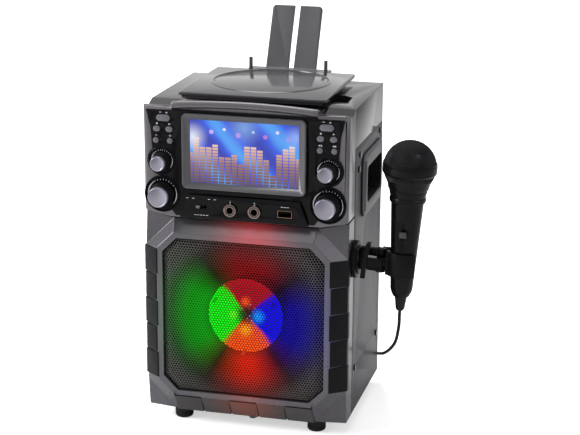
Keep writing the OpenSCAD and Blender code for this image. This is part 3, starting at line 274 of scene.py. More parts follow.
def merged_copy(cad, name):
    """A copy of a CAD node's mesh, joined up and with whole flat faces"""
    piece = bpy.data.objects.new(name, node[cad].data.copy())
    scene.collection.objects.link(piece)
    only(piece)
    bpy.ops.mesh.customdata_custom_splitnormals_clear()
    bpy.ops.object.mode_set(mode="EDIT")
    bpy.ops.mesh.select_all(action="SELECT")
    bpy.ops.mesh.remove_doubles(threshold=8e-6)
    bpy.ops.mesh.dissolve_limited(angle_limit=radians(0.3))
    bpy.ops.object.mode_set(mode="OBJECT")
    return piece


def rounded(piece, width, angle=30, segments=2, smooth=35):
    """Round a piece's sharp edges by a bevel, width in millimetres"""
    only(piece)
    edge = piece.modifiers.new("edge", "BEVEL")
    edge.width = width * mm
    edge.segments = segments
    edge.limit_method = "ANGLE"
    edge.angle_limit = radians(angle)
    edge.use_clamp_overlap = False
    bpy.ops.object.modifier_apply(modifier="edge")
    bpy.ops.object.shade_smooth_by_angle(angle=radians(smooth))
    return piece


def shell(cad, name, width, finish, angle=30, smooth=35):
    """A CAD node's shape with softened edges and a finish, standing for the node"""
    return settled(rounded(merged_copy(cad, name), width, angle, 2, smooth), cad, finish)


side_paint = moulded("side_grey_paint", tone(62, 58, 62), 0.42, grain=0.7, relief=0.2, spec=0.2)
shell("cabinet_shell", "cabinet_box", 0.7, side_paint)


# Top cover. One glossy moulding with the deck, its skirt, the disc well and the finger
# recess; darker inside the well, where the plastic is black.
gloss_grey = moulded("gloss_grey_plastic", tone(60, 57, 60), 0.16, grain=1.6, relief=0.02, coat=0.2, spec=0.35)
cover = shell("top_cover", "deck_cover", 0.8, gloss_grey)
well_black = moulded("well_black_plastic", tone(24, 23, 26), 0.35, grain=0.6, spec=0.15)


def spread(piece, finish, wanted):
    """Give a second material to the faces whose middle passes the test"""
    piece.data.materials.append(finish)
    last = len(piece.data.materials) - 1
    for face in piece.data.polygons:
        if wanted(face.center / mm, face.normal):
            face.material_index = last


spread(cover, well_black, lambda c, n: c.z < 329.5 and (hypot(c.x, c.y - 69) < 61.6
       or (64.5 < c.x < 88.5 and 25.5 < c.y < 60.5 and c.z > 320)) or c.y < 1 and c.z > 322)


# Fascia. Gun-metal moulding round the black overlay, with a hood bar over the display
# that is crowned by a few millimetres in its middle.
gun_metal = moulded("gunmetal_paint", tone(92, 88, 92), 0.28, grain=0.35, relief=0.05, metal=0.5, coat=0.15)
fascia = merged_copy("fascia", "fascia_moulding")
only(fascia)
bpy.ops.object.mode_set(mode="EDIT")
for x in range(-66, 67, 12):
    bpy.ops.mesh.select_all(action="SELECT")
    bpy.ops.mesh.bisect(plane_co=(x * mm, 0, 0), plane_no=(1, 0, 0))
bpy.ops.object.mode_set(mode="OBJECT")
for vertex in fascia.data.vertices:
    x, y, z = vertex.co / mm
    if z > 323 and abs(x) < 73.2:
        share = min(max((-y - 4) / 10, 0), 1)
        vertex.co.z += 3.0 * (1 - (x / 73) ** 2) * share * mm
settled(rounded(fascia, 0.7, 28), "fascia", gun_metal)
fascia_black = moulded("gloss_black_edge", tone(20, 19, 21), 0.15, grain=2, relief=0.01, spec=0.2)
spread(fascia, fascia_black, lambda c, n: c.z > 325 and c.y > -28.5)


# Overlay, socket panel and knob rings. High-gloss black, the rings standing up round
# each knob, with generic scales and signs printed in light grey.
piano_black = moulded("gloss_black_plastic", tone(11, 10, 13), 0.12, grain=2, relief=0.01, spec=0.1)
shell("fascia_overlay", "black_overlay", 0.25, piano_black)
shell("socket_panel", "raised_socket_panel", 0.6, piano_black)

print_grey = moulded("printed_grey", tone(196, 196, 200), 0.6, grain=0.6, relief=0.02)
prints = []


def printed(points, x, z, y=-31.0):
    """A flat printed shape on the panel: its outline, drawn round a circle's corners"""
    bpy.ops.mesh.primitive_circle_add(vertices=len(points), radius=0.001, fill_type="NGON")
    shape = bpy.context.object
    for vertex, (px, pz) in zip(shape.data.vertices, points):
        vertex.co = ((x + px) * mm, (y - 0.03) * mm, (z + pz) * mm)
    bpy.ops.object.mode_set(mode="EDIT")
    bpy.ops.mesh.select_all(action="SELECT")
    bpy.ops.mesh.extrude_region_move(TRANSFORM_OT_translate={"value": (0, 0.08 * mm, 0)})
    bpy.ops.mesh.select_all(action="SELECT")
    bpy.ops.mesh.normals_make_consistent(inside=False)
    bpy.ops.object.mode_set(mode="OBJECT")
    prints.append(shape)


def arc(x, z, radius, start, end, wide, y=-31.0):
    """A printed crescent round a knob, widest in its middle"""
    outer, inner = [], []
    for k in range(25):
        share = k / 24
        a = radians(start + (end - start) * share)
        half = 0.15 + wide * sin(pi * share)
        outer.append(((radius + half / 2) * cos(a), (radius + half / 2) * sin(a)))
        inner.append(((radius - half / 2) * cos(a), (radius - half / 2) * sin(a)))
    printed(outer + inner[::-1], x, z, y)


def tick(x, z, radius, angle, long):
    """A printed stroke of a knob's scale"""
    a = radians(angle)
    along, across = (cos(a), sin(a)), (-sin(a) * 0.22, cos(a) * 0.22)
    corners = []
    for r, s in ((radius, -1), (radius + long, -1), (radius + long, 1), (radius, 1)):
        corners.append((r * along[0] + s * across[0], r * along[1] + s * across[1]))
    printed(corners, x, z)


knob_x, upper_z, lower_z = 83.5, 274, 240.5
for x in (-knob_x, knob_x):
    for z, foot, ring in ((upper_z, 9.0, 11.8), (lower_z, 12.2, 16.3)):
        arc(x, z, (foot + ring) / 2 + 0.3, 118, 200, 1.0)
        arc(x, z, (foot + ring) / 2 + 0.3, -42, 30, 0.8)
        for k in range(7):
            tick(x, z, (foot + ring) / 2 - 0.4, 38 + k * 12, 1.3)

up = [(-1.1, -0.8), (1.1, -0.8), (0, 0.9)]
right = [(-0.8, -1.0), (-0.8, 1.0), (0.9, 0)]
left = [(0.8, 1.0), (0.8, -1.0), (-0.9, 0)]
bar = [(-1.1, -0.25), (1.1, -0.25), (1.1, 0.25), (-1.1, 0.25)]
post = [(-0.25, -1.1), (0.25, -1.1), (0.25, 1.1), (-0.25, 1.1)]
block = [(-0.8, -0.8), (0.8, -0.8), (0.8, 0.8), (-0.8, 0.8)]
for shape, x, z in ((bar, -84.7, 322.4), (up, -78.3, 322.4), (bar, 78.3, 322.4), (up, 84.7, 322.4),
                    (block, 75.5, 311), (right, 88.3, 311), (left, 74.1, 299.3), (left, 76.0, 299.3),
                    (right, 88.4, 299.3), (right, 90.2, 299.3), (block, -88.3, 311), (right, -75.5, 311),
                    (bar, -89.2, 299.3), (bar, -75, 299.3), (post, -75, 299.3)):
    printed(shape, x, z)
for z, row in ((239, (-57, -51, -35, -29)), (236.5, (38.5, 41.5, 44.5)), (222.5, (-49, -46, -43, -40, -37))):
    for x in row:
        printed(bar, x, z, -34.0)
jack_left, jack_right, socket_z = -13.5, 11, 229.5
for x, text in ((jack_left, "1"), (jack_right, "2")):
    bpy.ops.object.text_add(location=(x * mm, -34.02 * mm, 236 * mm), rotation=(pi / 2, 0, 0))
    number = bpy.context.object
    number.data.body = text
    number.data.size = 4.2 * mm
    number.data.extrude = 0.04 * mm
    number.data.align_x = "CENTER"
    bpy.ops.object.convert(target="MESH")
    prints.append(bpy.context.object)
bpy.ops.object.select_all(action="DESELECT")
for shape in prints:
    shape.select_set(True)
bpy.context.view_layer.objects.active = prints[0]
bpy.ops.object.join()
signs = bpy.context.object
signs.name = "printed_signs"
bpy.ops.object.transform_apply(location=True, rotation=True, scale=True)
settled(signs, None, print_grey, body="cabinet")


# Display. Silver bevelled frame round a lit panel; the picture is a plain level
# meter in brown, peach and white on blue, under small round lights.
silver = moulded("silver_paint", tone(82, 81, 84), 0.3, grain=0.3, relief=0.06, metal=0.3, spec=0.3)
shell("display_frame", "bevelled_display_frame", 0.5, silver, 20)


def flat_place(tree):
    """Object coordinates with the depth taken out, for patterns seen square from the front"""
    place = tree.nodes.new("ShaderNodeTexCoord")
    flat = tree.nodes.new("ShaderNodeVectorMath")
    flat.operation = "MULTIPLY"
    flat.inputs[1].default_value = (1, 0, 1)
    tree.links.new(place.outputs["Object"], flat.inputs[0])
    return flat.outputs["Vector"]


def spot(tree, place, under, x, z, radius, soft, colour):
    """A soft round light laid over a colour, sizes in millimetres"""
    away = tree.nodes.new("ShaderNodeVectorMath")
    away.operation = "DISTANCE"
    away.inputs[1].default_value = (x * mm, 0, z * mm)
    mask = tree.nodes.new("ShaderNodeMapRange")
    mask.interpolation_type = "SMOOTHSTEP"
    mask.inputs["From Min"].default_value = (radius - soft) * mm
    mask.inputs["From Max"].default_value = (radius + soft) * mm
    mask.inputs["To Min"].default_value = colour[3]
    mask.inputs["To Max"].default_value = 0
    over = tree.nodes.new("ShaderNodeMix")
    over.data_type = "RGBA"
    over.inputs["B"].default_value = colour[:3] + (1,)
    tree.links.new(place, away.inputs[0])
    tree.links.new(away.outputs["Value"], mask.inputs["Value"])
    tree.links.new(mask.outputs["Result"], over.inputs["Factor"])
    tree.links.new(under, over.inputs["A"])
    return over.outputs["Result"]


picture = bpy.data.materials.new("lit_display")
picture.use_nodes = True
tree = picture.node_tree
shader = tree.nodes["Principled BSDF"]
shader.inputs["Base Color"].default_value = (0.01, 0.01, 0.015, 1)
shader.inputs["Roughness"].default_value = 0.12
shader.inputs["Emission Strength"].default_value = 0.95
flat = flat_place(tree)
beams = tree.nodes.new("ShaderNodeTexWave")
beams.bands_direction = "DIAGONAL"
beams.inputs["Scale"].default_value = 12
beams.inputs["Distortion"].default_value = 3
beams.inputs["Detail"].default_value = 2
blues = tree.nodes.new("ShaderNodeValToRGB")
blues.color_ramp.elements[0].color = tone(16, 40, 176)
blues.color_ramp.elements[1].color = tone(70, 156, 244)
blues.color_ramp.elements.new(0.55).color = tone(34, 84, 226)
tree.links.new(flat, beams.inputs["Vector"])
tree.links.new(beams.outputs["Color"], blues.inputs["Fac"])
colour = blues.outputs["Color"]
for x, z, radius, soft, c in ((-52, 300, 7, 11, tone(244, 248, 255)[:3] + (0.9,)),
                              (0, 312, 9, 14, tone(150, 200, 255)[:3] + (0.6,)),
                              (51, 305, 6, 9, tone(170, 200, 255)[:3] + (0.7,)),
                              (-33, 306, 2.2, 0.4, tone(226, 190, 250)[:3] + (0.7,)),
                              (-20, 309, 1.5, 0.4, tone(250, 244, 255)[:3] + (0.8,)),
                              (-6, 304, 2.6, 0.5, tone(206, 160, 230)[:3] + (0.6,)),
                              (9, 308, 1.4, 0.4, tone(190, 226, 255)[:3] + (0.8,)),
                              (21, 304, 2.2, 0.5, tone(226, 130, 180)[:3] + (0.6,)),
                              (33, 309, 1.7, 0.4, tone(246, 226, 250)[:3] + (0.8,)),
                              (44, 303, 2.4, 0.5, tone(170, 140, 230)[:3] + (0.6,))):
    colour = spot(tree, flat, colour, x, z, radius, soft, c)
across = tree.nodes.new("ShaderNodeSeparateXYZ")
tree.links.new(flat, across.inputs["Vector"])


def sums(tree, operation, first, second, third=0.0):
    """One step of arithmetic on node values or plain numbers"""
    step = tree.nodes.new("ShaderNodeMath")
    step.operation = operation
    for place, value in enumerate((first, second, third)):
        if isinstance(value, (int, float)):
            step.inputs[place].default_value = value
        else:
            tree.links.new(value, step.inputs[place])
    return step.outputs["Value"]


column = sums(tree, "MULTIPLY_ADD", across.outputs["X"], 1 / (6.4 * mm), 9.0)
level = sums(tree, "MULTIPLY_ADD", across.outputs["Z"], 1 / (3 * mm), -255 / 3)
tune = tree.nodes.new("ShaderNodeTexNoise")
tune.noise_dimensions = "1D"
tune.inputs["Scale"].default_value = 0.43
tune.inputs["Detail"].default_value = 2
tree.links.new(sums(tree, "FLOOR", column, 0.0), tune.inputs["W"])
height = sums(tree, "MULTIPLY_ADD", tune.outputs[0], 30.0, -5.0)
lit = sums(tree, "LESS_THAN", sums(tree, "FRACT", column, 0.0), 0.87)
lit = sums(tree, "MULTIPLY", lit, sums(tree, "LESS_THAN", sums(tree, "FRACT", level, 0.0), 0.8))
lit = sums(tree, "MULTIPLY", lit, sums(tree, "GREATER_THAN", level, 0.0))
lit = sums(tree, "MULTIPLY", lit, sums(tree, "GREATER_THAN", height, sums(tree, "FLOOR", level, 0.0)))
steps = tree.nodes.new("ShaderNodeValToRGB")
steps.color_ramp.elements[0].color = tone(84, 58, 56)
steps.color_ramp.elements[1].color = tone(252, 240, 234)
steps.color_ramp.elements.new(0.4).color = tone(150, 104, 88)
steps.color_ramp.elements.new(0.7).color = tone(222, 174, 148)
tree.links.new(sums(tree, "MULTIPLY", level, 1 / 16), steps.inputs["Fac"])
metered = tree.nodes.new("ShaderNodeMix")
metered.data_type = "RGBA"
tree.links.new(lit, metered.inputs["Factor"])
tree.links.new(colour, metered.inputs["A"])
tree.links.new(steps.outputs["Color"], metered.inputs["B"])
colour = metered.outputs["Result"]
tree.links.new(colour, shader.inputs["Emission Color"])


def dressed(cad, finish):
    """A better material on a CAD node whose shape is right"""
    for place in node[cad].material_slots:
        place.material = finish
    if not node[cad].material_slots:
        node[cad].data.materials.append(finish)


dressed("display_panel", picture)


# Knobs. Black fluted skirt under a brushed silver cap with a bright rim, pressed on a
# potentiometer's shaft.
def turned(name, profile, place, steps=64):
    """A turned piece: a closed outline of (radius, height) in millimetres, spun about Z"""
    bpy.ops.object.select_all(action="DESELECT")
    bpy.ops.mesh.primitive_circle_add(vertices=len(profile), radius=0.001)
    piece = bpy.context.object
    piece.name = name
    for vertex, (radius, height) in zip(piece.data.vertices, profile):
        vertex.co = (radius * mm, 0, height * mm)
    bpy.ops.object.mode_set(mode="EDIT")
    bpy.ops.mesh.select_all(action="SELECT")
    bpy.ops.mesh.spin(steps=steps, angle=2 * pi, center=(0, 0, 0), axis=(0, 0, 1))
    bpy.ops.mesh.select_all(action="SELECT")
    bpy.ops.mesh.remove_doubles(threshold=2e-6)
    bpy.ops.mesh.normals_make_consistent(inside=False)
    bpy.ops.object.mode_set(mode="OBJECT")
    piece.matrix_world = place
    bpy.ops.object.transform_apply(location=True, rotation=True, scale=True)
    bpy.ops.object.shade_smooth_by_angle(angle=radians(35))
    return piece


def facing(x, y, z):
    """A place on the front, with the piece's Z axis pointing out of the panel"""
    return Matrix.Translation((x * mm, y * mm, z * mm)) @ Matrix.Rotation(pi / 2, 4, "X")


skirt_black = moulded("knob_skirt_black", tone(18, 17, 20), 0.38, grain=0.5, spec=0.15)
cap_silver_painted_shade = moulded("knob_cap_silver", tone(142, 139, 150), 0.32, grain=0.25, relief=0.12, metal=0.7)
for side, hand in ((-1, "left"), (1, "right")):
    for level, z, r in (("upper", upper_z, 7), ("lower", lower_z, 9.75)):
        cad = "knob_%s_%s" % (level, hand)
        foot = r + 2.2
        skirt = turned(cad + "_skirt", [(0, 0.2), (foot - 0.5, 0.2), (foot, 0.7), (foot, 2), (r + 1.3, 3.4),
                                        (r + 0.9, 11.5), (r + 0.4, 12.2), (0, 12.2)],
                       Matrix.Identity(4), 120)
        for vertex in skirt.data.vertices:
            away = hypot(vertex.co.x, vertex.co.y) / mm
            if 3 < vertex.co.z / mm < 11.8 and away > r:
                ridge = 1 - 0.022 * (0.5 + 0.5 * cos(30 * atan2(vertex.co.y, vertex.co.x)))
                vertex.co.x *= ridge
                vertex.co.y *= ridge
        skirt.matrix_world = facing(side * knob_x, -31.5, z)
        only(skirt)
        bpy.ops.object.transform_apply(location=True, rotation=True, scale=True)
        settled(skirt, cad, skirt_black)
        cap = turned(cad + "_cap", [(0, 11.9), (r + 0.5, 11.9), (r + 0.5, 14.8), (r + 0.2, 15.4), (r - 0.5, 15.8),
                                    (r - 1.0, 15.5), (r - 1.6, 15.35), (0, 15.35)],
                     facing(side * knob_x, -31.5, z), 96)
        settled(cap, None, cap_silver_painted_shade, body=cad)
# Each cap's upper left is darkened by a painted shade laid over its silver.
tree = cap_silver_painted_shade.node_tree
flat = flat_place(tree)
colour = tree.nodes["Color Ramp"].outputs["Color"]
for x in (-knob_x, knob_x):
    for z, r in ((upper_z, 7), (lower_z, 9.75)):
        colour = spot(tree, flat, colour, x - 0.5 * r, z + 0.75 * r, 0.7 * r, 0.9 * r, tone(84, 80, 94)[:3] + (0.9,))
tree.links.new(colour, tree.nodes["Principled BSDF"].inputs["Base Color"])


# Push buttons. Smoky grey keys on one rubber mat, and the mode slider in the same finish.
smoke = moulded("smoky_button", tone(90, 88, 95), 0.3, grain=0.6, relief=0.04, coat=0.1)
for cad in [n for n in node if "button" in n]:
    shell(cad, cad + "_key", 0.6, smoke)
dressed("mode_slider", smoke)


# Microphone and memory sockets. Turned nickel bushes with a chamfered lip, and a plated
# steel shell.
nickel = moulded("socket_nickel", tone(112, 98, 94), 0.18, grain=0.5, relief=0.03, metal=1.0)
socket_dark = moulded("socket_bore_black", tone(8, 8, 9), 0.6, spec=0.05)
jacks = shell("mic_jacks", "nickel_sockets", 0.3, nickel)
spread(jacks, socket_dark, lambda c, n: c.y > -35.6
       and min(hypot(c.x - jack_left, c.z - socket_z), hypot(c.x - jack_right, c.z - socket_z)) < 3.4)
for x in (jack_left, jack_right):
    lip = turned("socket_nut_%d" % (x + 14), [(3.8, 0), (6.3, 0), (6.3, 1.0), (5.8, 1.8), (4.9, 2.0), (4.2, 1.4)],
                 facing(x, -34.0, socket_z), 64)
    settled(lip, None, nickel, body="cabinet")
    mouth = turned("socket_mouth_%d" % (x + 14), [(3.5, 1.2), (4.9, 1.2), (4.9, 2.1), (4.6, 2.2), (3.7, 1.7)],
                   facing(x, -34.0, socket_z), 64)
    settled(mouth, None, socket_dark, body="cabinet")
copper_shell = moulded("plated_shell", tone(132, 104, 86), 0.3, grain=0.5, metal=0.9)
memory = shell("usb_socket", "memory_socket", 0.15, copper_shell)
spread(memory, socket_dark, lambda c, n: c.y > -33.4 and abs(c.x - 41.5) < 6.8 and abs(c.z - socket_z) < 3.2)


# Loudspeaker bezel. Light metallic moulding in flat facets round an octagonal mouth; the
# lamps behind the grille tint its edges, a painted glow that fades away from the mouth.
def lamp_colours(tree, place, blur, colours, between, turns=(-127, -47, 41, 128)):
    """Colour by direction from the middle of the reflector: green to the left, orange
    below, blue to the right and red above, with darker rays between them"""
    split = tree.nodes.new("ShaderNodeSeparateXYZ")
    turn = tree.nodes.new("ShaderNodeMath")
    turn.operation = "ARCTAN2"
    share = tree.nodes.new("ShaderNodeMapRange")
    share.inputs["From Min"].default_value = -pi
    share.inputs["From Max"].default_value = pi
    ramp = tree.nodes.new("ShaderNodeValToRGB")
    tree.links.new(place, split.inputs[0])
    tree.links.new(split.outputs["Z"], turn.inputs[0])
    tree.links.new(split.outputs["X"], turn.inputs[1])
    tree.links.new(turn.outputs[0], share.inputs["Value"])
    tree.links.new(share.outputs["Result"], ramp.inputs["Fac"])
    elements = ramp.color_ramp.elements
    elements[0].position, elements[0].color = 0, colours[0]
    elements[1].position, elements[1].color = 1, colours[0]
    for angle, before, after in zip(turns, (0, 1, 2, 3), (1, 2, 3, 0)):
        middle = [between * (a + b) / 2 for a, b in zip(colours[before][:3], colours[after][:3])] + [1]
        for offset, colour in ((-blur, colours[before]), (0, middle), (blur, colours[after])):
            elements.new((angle + offset + 180) / 360).color = colour
    return ramp.outputs["Color"]


def from_middle(tree, place):
    """Distance from the middle of the reflector, as a share of 120 mm"""
    away = tree.nodes.new("ShaderNodeVectorMath")
    away.operation = "LENGTH"
    reach = tree.nodes.new("ShaderNodeMapRange")
    reach.inputs["From Max"].default_value = 120 * mm
    tree.links.new(place, away.inputs[0])
    tree.links.new(away.outputs["Value"], reach.inputs["Value"])
    return reach.outputs["Result"]


def dimmed(tree, place, colour, levels):
    """The colour times a level that changes with the distance from the middle"""
    level = tree.nodes.new("ShaderNodeValToRGB")
    elements = level.color_ramp.elements
    elements[0].position, elements[0].color = levels[0][0] / 120, (levels[0][1],) * 3 + (1,)
    elements[1].position, elements[1].color = levels[-1][0] / 120, (levels[-1][1],) * 3 + (1,)
    for radius, value in levels[1:-1]:
        elements.new(radius / 120).color = (value,) * 3 + (1,)
    lit = tree.nodes.new("ShaderNodeMix")
    lit.data_type = "RGBA"
    lit.blend_type = "MULTIPLY"
    lit.inputs["Factor"].default_value = 1
    tree.links.new(from_middle(tree, place), level.inputs["Fac"])
    tree.links.new(colour, lit.inputs["A"])
    tree.links.new(level.outputs["Color"], lit.inputs["B"])
    return lit.outputs["Result"]


disc_colours = [(0.004, 0.8, 0.003, 1), (0.9, 0.075, 0.004, 1), (0.002, 0.001, 0.72, 1), (0.38, 0.002, 0.01, 1)]
glow_colours = [(0.004, 0.76, 0.008, 1), (1.6, 0.035, 0.004, 1), (0.008, 0.002, 0.66, 1), (0.5, 0.001, 0.006, 1)]


def lamp_light(tree, place, soft, disc_level):
    """The whole pattern of light: the four-colour disc with an edge this soft, its four hot
    spots and dark hub, and the glow round it"""
    disc = lamp_colours(tree, place, 4 + 2 * soft, disc_colours, 0.7)
    disc = spot(tree, place, disc, 0, 0, 9.5, 6, (0.012, 0.008, 0.006, 0.92))
    for x, z, radius, fade, c in ((-1, 13.5, 3.5, 4, (1.1, 0.11, 0.01, 1)), (-13.5, -1, 3, 4, (0.16, 1.0, 0.02, 1)),
                                  (-1, -16, 4, 6, (1.2, 0.46, 0.004, 1)), (12, -1, 4.5, 5, (0.004, 0.34, 1.2, 1)),
                                  (4, 10, 0.7, 0.3, (0.5, 0.4, 0.5, 1)), (8, 7, 0.7, 0.3, (0.5, 0.4, 0.6, 1)),
                                  (-6, 5, 0.7, 0.3, (0.5, 0.5, 0.4, 1)), (3, -2, 0.8, 0.3, (0.5, 0.5, 0.5, 1)),
                                  (0, -5, 0.7, 0.3, (0.4, 0.4, 0.3, 1)), (5, -7, 0.7, 0.3, (0.4, 0.4, 0.5, 1))):
        disc = spot(tree, place, disc, x, z, radius, fade, c)
    disc = dimmed(tree, place, disc, ((0, disc_level), (120, disc_level)))
    glow = lamp_colours(tree, place, 28, glow_colours, 0.1, (-121, -53, 41, 127))
    glow = dimmed(tree, place, glow, ((0, 0.5), (44, 0.5), (62, 0.38), (78, 0.11), (92, 0.02), (120, 0)))
    edge = tree.nodes.new("ShaderNodeMapRange")
    edge.inputs["From Min"].default_value = (38.2 - soft) / 120
    edge.inputs["From Max"].default_value = (39 + soft) / 120
    both = tree.nodes.new("ShaderNodeMix")
    both.data_type = "RGBA"
    tree.links.new(from_middle(tree, place), edge.inputs["Value"])
    tree.links.new(edge.outputs["Result"], both.inputs["Factor"])
    tree.links.new(disc, both.inputs["A"])
    tree.links.new(glow, both.inputs["B"])
    return both.outputs["Result"]


def around(tree, place, x, z):
    """Places seen from a point of the front, in millimetres"""
    moved = tree.nodes.new("ShaderNodeVectorMath")
    moved.operation = "SUBTRACT"
    moved.inputs[1].default_value = (x * mm, 0, z * mm)
    tree.links.new(place, moved.inputs[0])
    return moved.outputs["Vector"]


def lit_by_lamps(finish, strength, middle=(0, 119.8), soft=0, disc_level=1.0):
    """Add the lamps' light to a finish, painted in as a glow"""
    tree = finish.node_tree
    shader = tree.nodes["Principled BSDF"]
    place = around(tree, flat_place(tree), *middle)
    tree.links.new(lamp_light(tree, place, soft, disc_level), shader.inputs["Emission Color"])
    shader.inputs["Emission Strength"].default_value = strength
    return finish


bezel_grey = moulded("bezel_metallic_grey", tone(86, 84, 88), 0.26, grain=0.3, relief=0.05, metal=0.6, spec=0.3)
tree = bezel_grey.node_tree
# The lamps' light on the bezel is painted in as emission, by direction and distance from the lamps.
flat = around(tree, flat_place(tree), 2, 121)
bezel_painted_glow_colours = [(0.002, 0.1, 0.004, 1), (0.5, 0.05, 0.006, 1), (0.02, 0.012, 0.2, 1), (1.1, 0.01, 0.02, 1)]
colour = lamp_colours(tree, flat, 24, bezel_painted_glow_colours, 0.3, (-112, -64, 54, 112))
colour = dimmed(tree, flat, colour, ((0, 0.34), (82, 0.34), (90, 0.24), (98, 0.08), (106, 0.01), (112, 0)))
tree.links.new(colour, tree.nodes["Principled BSDF"].inputs["Emission Color"])
tree.nodes["Principled BSDF"].inputs["Emission Strength"].default_value = 1
shell("speaker_bezel", "faceted_bezel", 0.5, bezel_grey, 8, 9)


# Grip blocks. Black rubber-like blocks snapped over the bezel's slopes.
grip_rubber = moulded("grip_block_black", tone(12, 12, 15), 0.38, grain=0.5, relief=0.15, spec=0.1)
grips = shell("grip_blocks", "side_and_foot_grips", 0.6, grip_rubber, 20, 20)
foot_block = moulded("foot_block_grey", tone(58, 54, 56), 0.4, grain=0.5, relief=0.1, spec=0.3)
# The orange patch in the middle of the foot block is painted light from the lamps behind the grille.
tree = foot_block.node_tree
glow = spot(tree, flat_place(tree), tree.nodes["Color Ramp"].outputs["Color"], 4, 30, 22, 24, (0.3, 0.05, 0.01, 0.5))
tree.links.new(glow, tree.nodes["Principled BSDF"].inputs["Base Color"])
spread(grips, foot_block, lambda c, n: c.z < 32)


# Grille. Thin sheet steel with staggered holes, its middle standing forward like the
# bottom of a pan, with a black surround.
def octagon(half_w, half_h, corner):
    """Corners of a box with cut corners, round the middle"""
    return [(-half_w, -half_h + corner), (-half_w + corner, -half_h), (half_w - corner, -half_h),
            (half_w, -half_h + corner), (half_w, half_h - corner), (half_w - corner, half_h),
            (-half_w + corner, half_h), (-half_w, half_h - corner)]


hole_pitch = 2.8
grille_z = 118
bpy.ops.object.select_all(action="DESELECT")
bpy.ops.mesh.primitive_circle_add(vertices=6, radius=hole_pitch / sqrt(3) * mm, fill_type="NGON")
grille = bpy.context.object
grille.name = "perforated_grille"
bpy.ops.object.mode_set(mode="EDIT")
bpy.ops.mesh.select_all(action="SELECT")
bpy.ops.mesh.inset(thickness=0.36 * mm)
bpy.ops.mesh.delete(type="FACE")
bpy.ops.object.mode_set(mode="OBJECT")
row = hole_pitch * sqrt(3) / 2
for count, step in ((60, (hole_pitch, 0, 0)), (2, (hole_pitch / 2, row, 0)), (34, (0, 2 * row, 0))):
    repeat = grille.modifiers.new("repeat", "ARRAY")
    repeat.use_relative_offset = False
    repeat.use_constant_offset = True
    repeat.constant_offset_displace = [s * mm for s in step]
    repeat.count = count
    bpy.ops.object.modifier_apply(modifier="repeat")
bpy.ops.object.mode_set(mode="EDIT")
bpy.ops.mesh.select_all(action="SELECT")
bpy.ops.mesh.remove_doubles(threshold=2e-5)
bpy.ops.object.mode_set(mode="OBJECT")
grille.matrix_world = (Matrix.Translation((0, -30 * mm, grille_z * mm)) @ Matrix.Rotation(pi / 2, 4, "X")
                       @ Matrix.Translation((-29.75 * hole_pitch * mm, -33.5 * row * mm, 0)))
bpy.ops.object.transform_apply(location=True, rotation=True, scale=True)
border = octagon(82.2, 79.7, 14.7)
sides = []
for a, b in zip(border, border[1:] + border[:1]):
    across = Vector((b[1] - a[1], 0, a[0] - b[0])).normalized()
    if across.dot(Vector((a[0], 0, a[1]))) < 0:
        across = -across
    sides.append((Vector((a[0], 0, a[1] + grille_z)), across))
bpy.ops.object.mode_set(mode="EDIT")
for corner, across in sides:
    bpy.ops.mesh.select_all(action="SELECT")
    bpy.ops.mesh.bisect(plane_co=corner * mm, plane_no=across, clear_outer=True)
bpy.ops.object.mode_set(mode="OBJECT")
for vertex in grille.data.vertices:
    inward = min(-(vertex.co / mm - corner).dot(Vector((across.x, 0, across.z))) for corner, across in sides)
    vertex.co.y += (-7.3 + max(0, 1 - inward / 8.2) * 3.4) * mm
sheet = grille.modifiers.new("sheet", "SOLIDIFY")
sheet.thickness = 0.6 * mm
sheet.offset = 0
bpy.ops.object.modifier_apply(modifier="sheet")
mesh_black = moulded("grille_black_coat", tone(84, 81, 80), 0.4, grain=0.3, relief=0.05, spec=0.06)
# The lamps' light on the web is painted in as a glow.
lit_by_lamps(mesh_black, 1.0, (2.5, 121.5), 6, 0.22)
tree = mesh_black.node_tree
# Painted highlight: the web's colour is kept near black in the middle and lifted to grey towards the edge, for the
# light the outer wires catch.
edge_painted_highlight = dimmed(tree, around(tree, flat_place(tree), 0, grille_z), tree.nodes["Color Ramp"].outputs["Color"],
              ((0, 0.03), (55, 0.06), (75, 0.4), (88, 1), (120, 1)))
tree.links.new(edge_painted_highlight, tree.nodes["Principled BSDF"].inputs["Base Color"])
settled(grille, "grille", mesh_black)

bpy.ops.object.select_all(action="DESELECT")
bpy.ops.mesh.primitive_circle_add(vertices=8, radius=0.05, fill_type="NGON")
surround = bpy.context.object
surround.name = "grille_surround"
for vertex, (x, z) in zip(surround.data.vertices, octagon(82.4, 79.9, 14.9)):
    vertex.co = (x * mm, -35.2 * mm, (z + grille_z) * mm)
bpy.ops.object.mode_set(mode="EDIT")
bpy.ops.mesh.select_all(action="SELECT")
bpy.ops.mesh.inset(thickness=0.9 * mm)
bpy.ops.mesh.delete(type="FACE")
bpy.ops.mesh.select_all(action="SELECT")
bpy.ops.mesh.extrude_region_move(TRANSFORM_OT_translate={"value": (0, 8 * mm, 0)})
bpy.ops.mesh.select_all(action="SELECT")
bpy.ops.mesh.normals_make_consistent(inside=False)
bpy.ops.object.mode_set(mode="OBJECT")
surround_black = moulded("surround_black", tone(14, 13, 16), 0.4, spec=0.1)
settled(rounded(surround, 0.2), None, surround_black, body="cabinet")


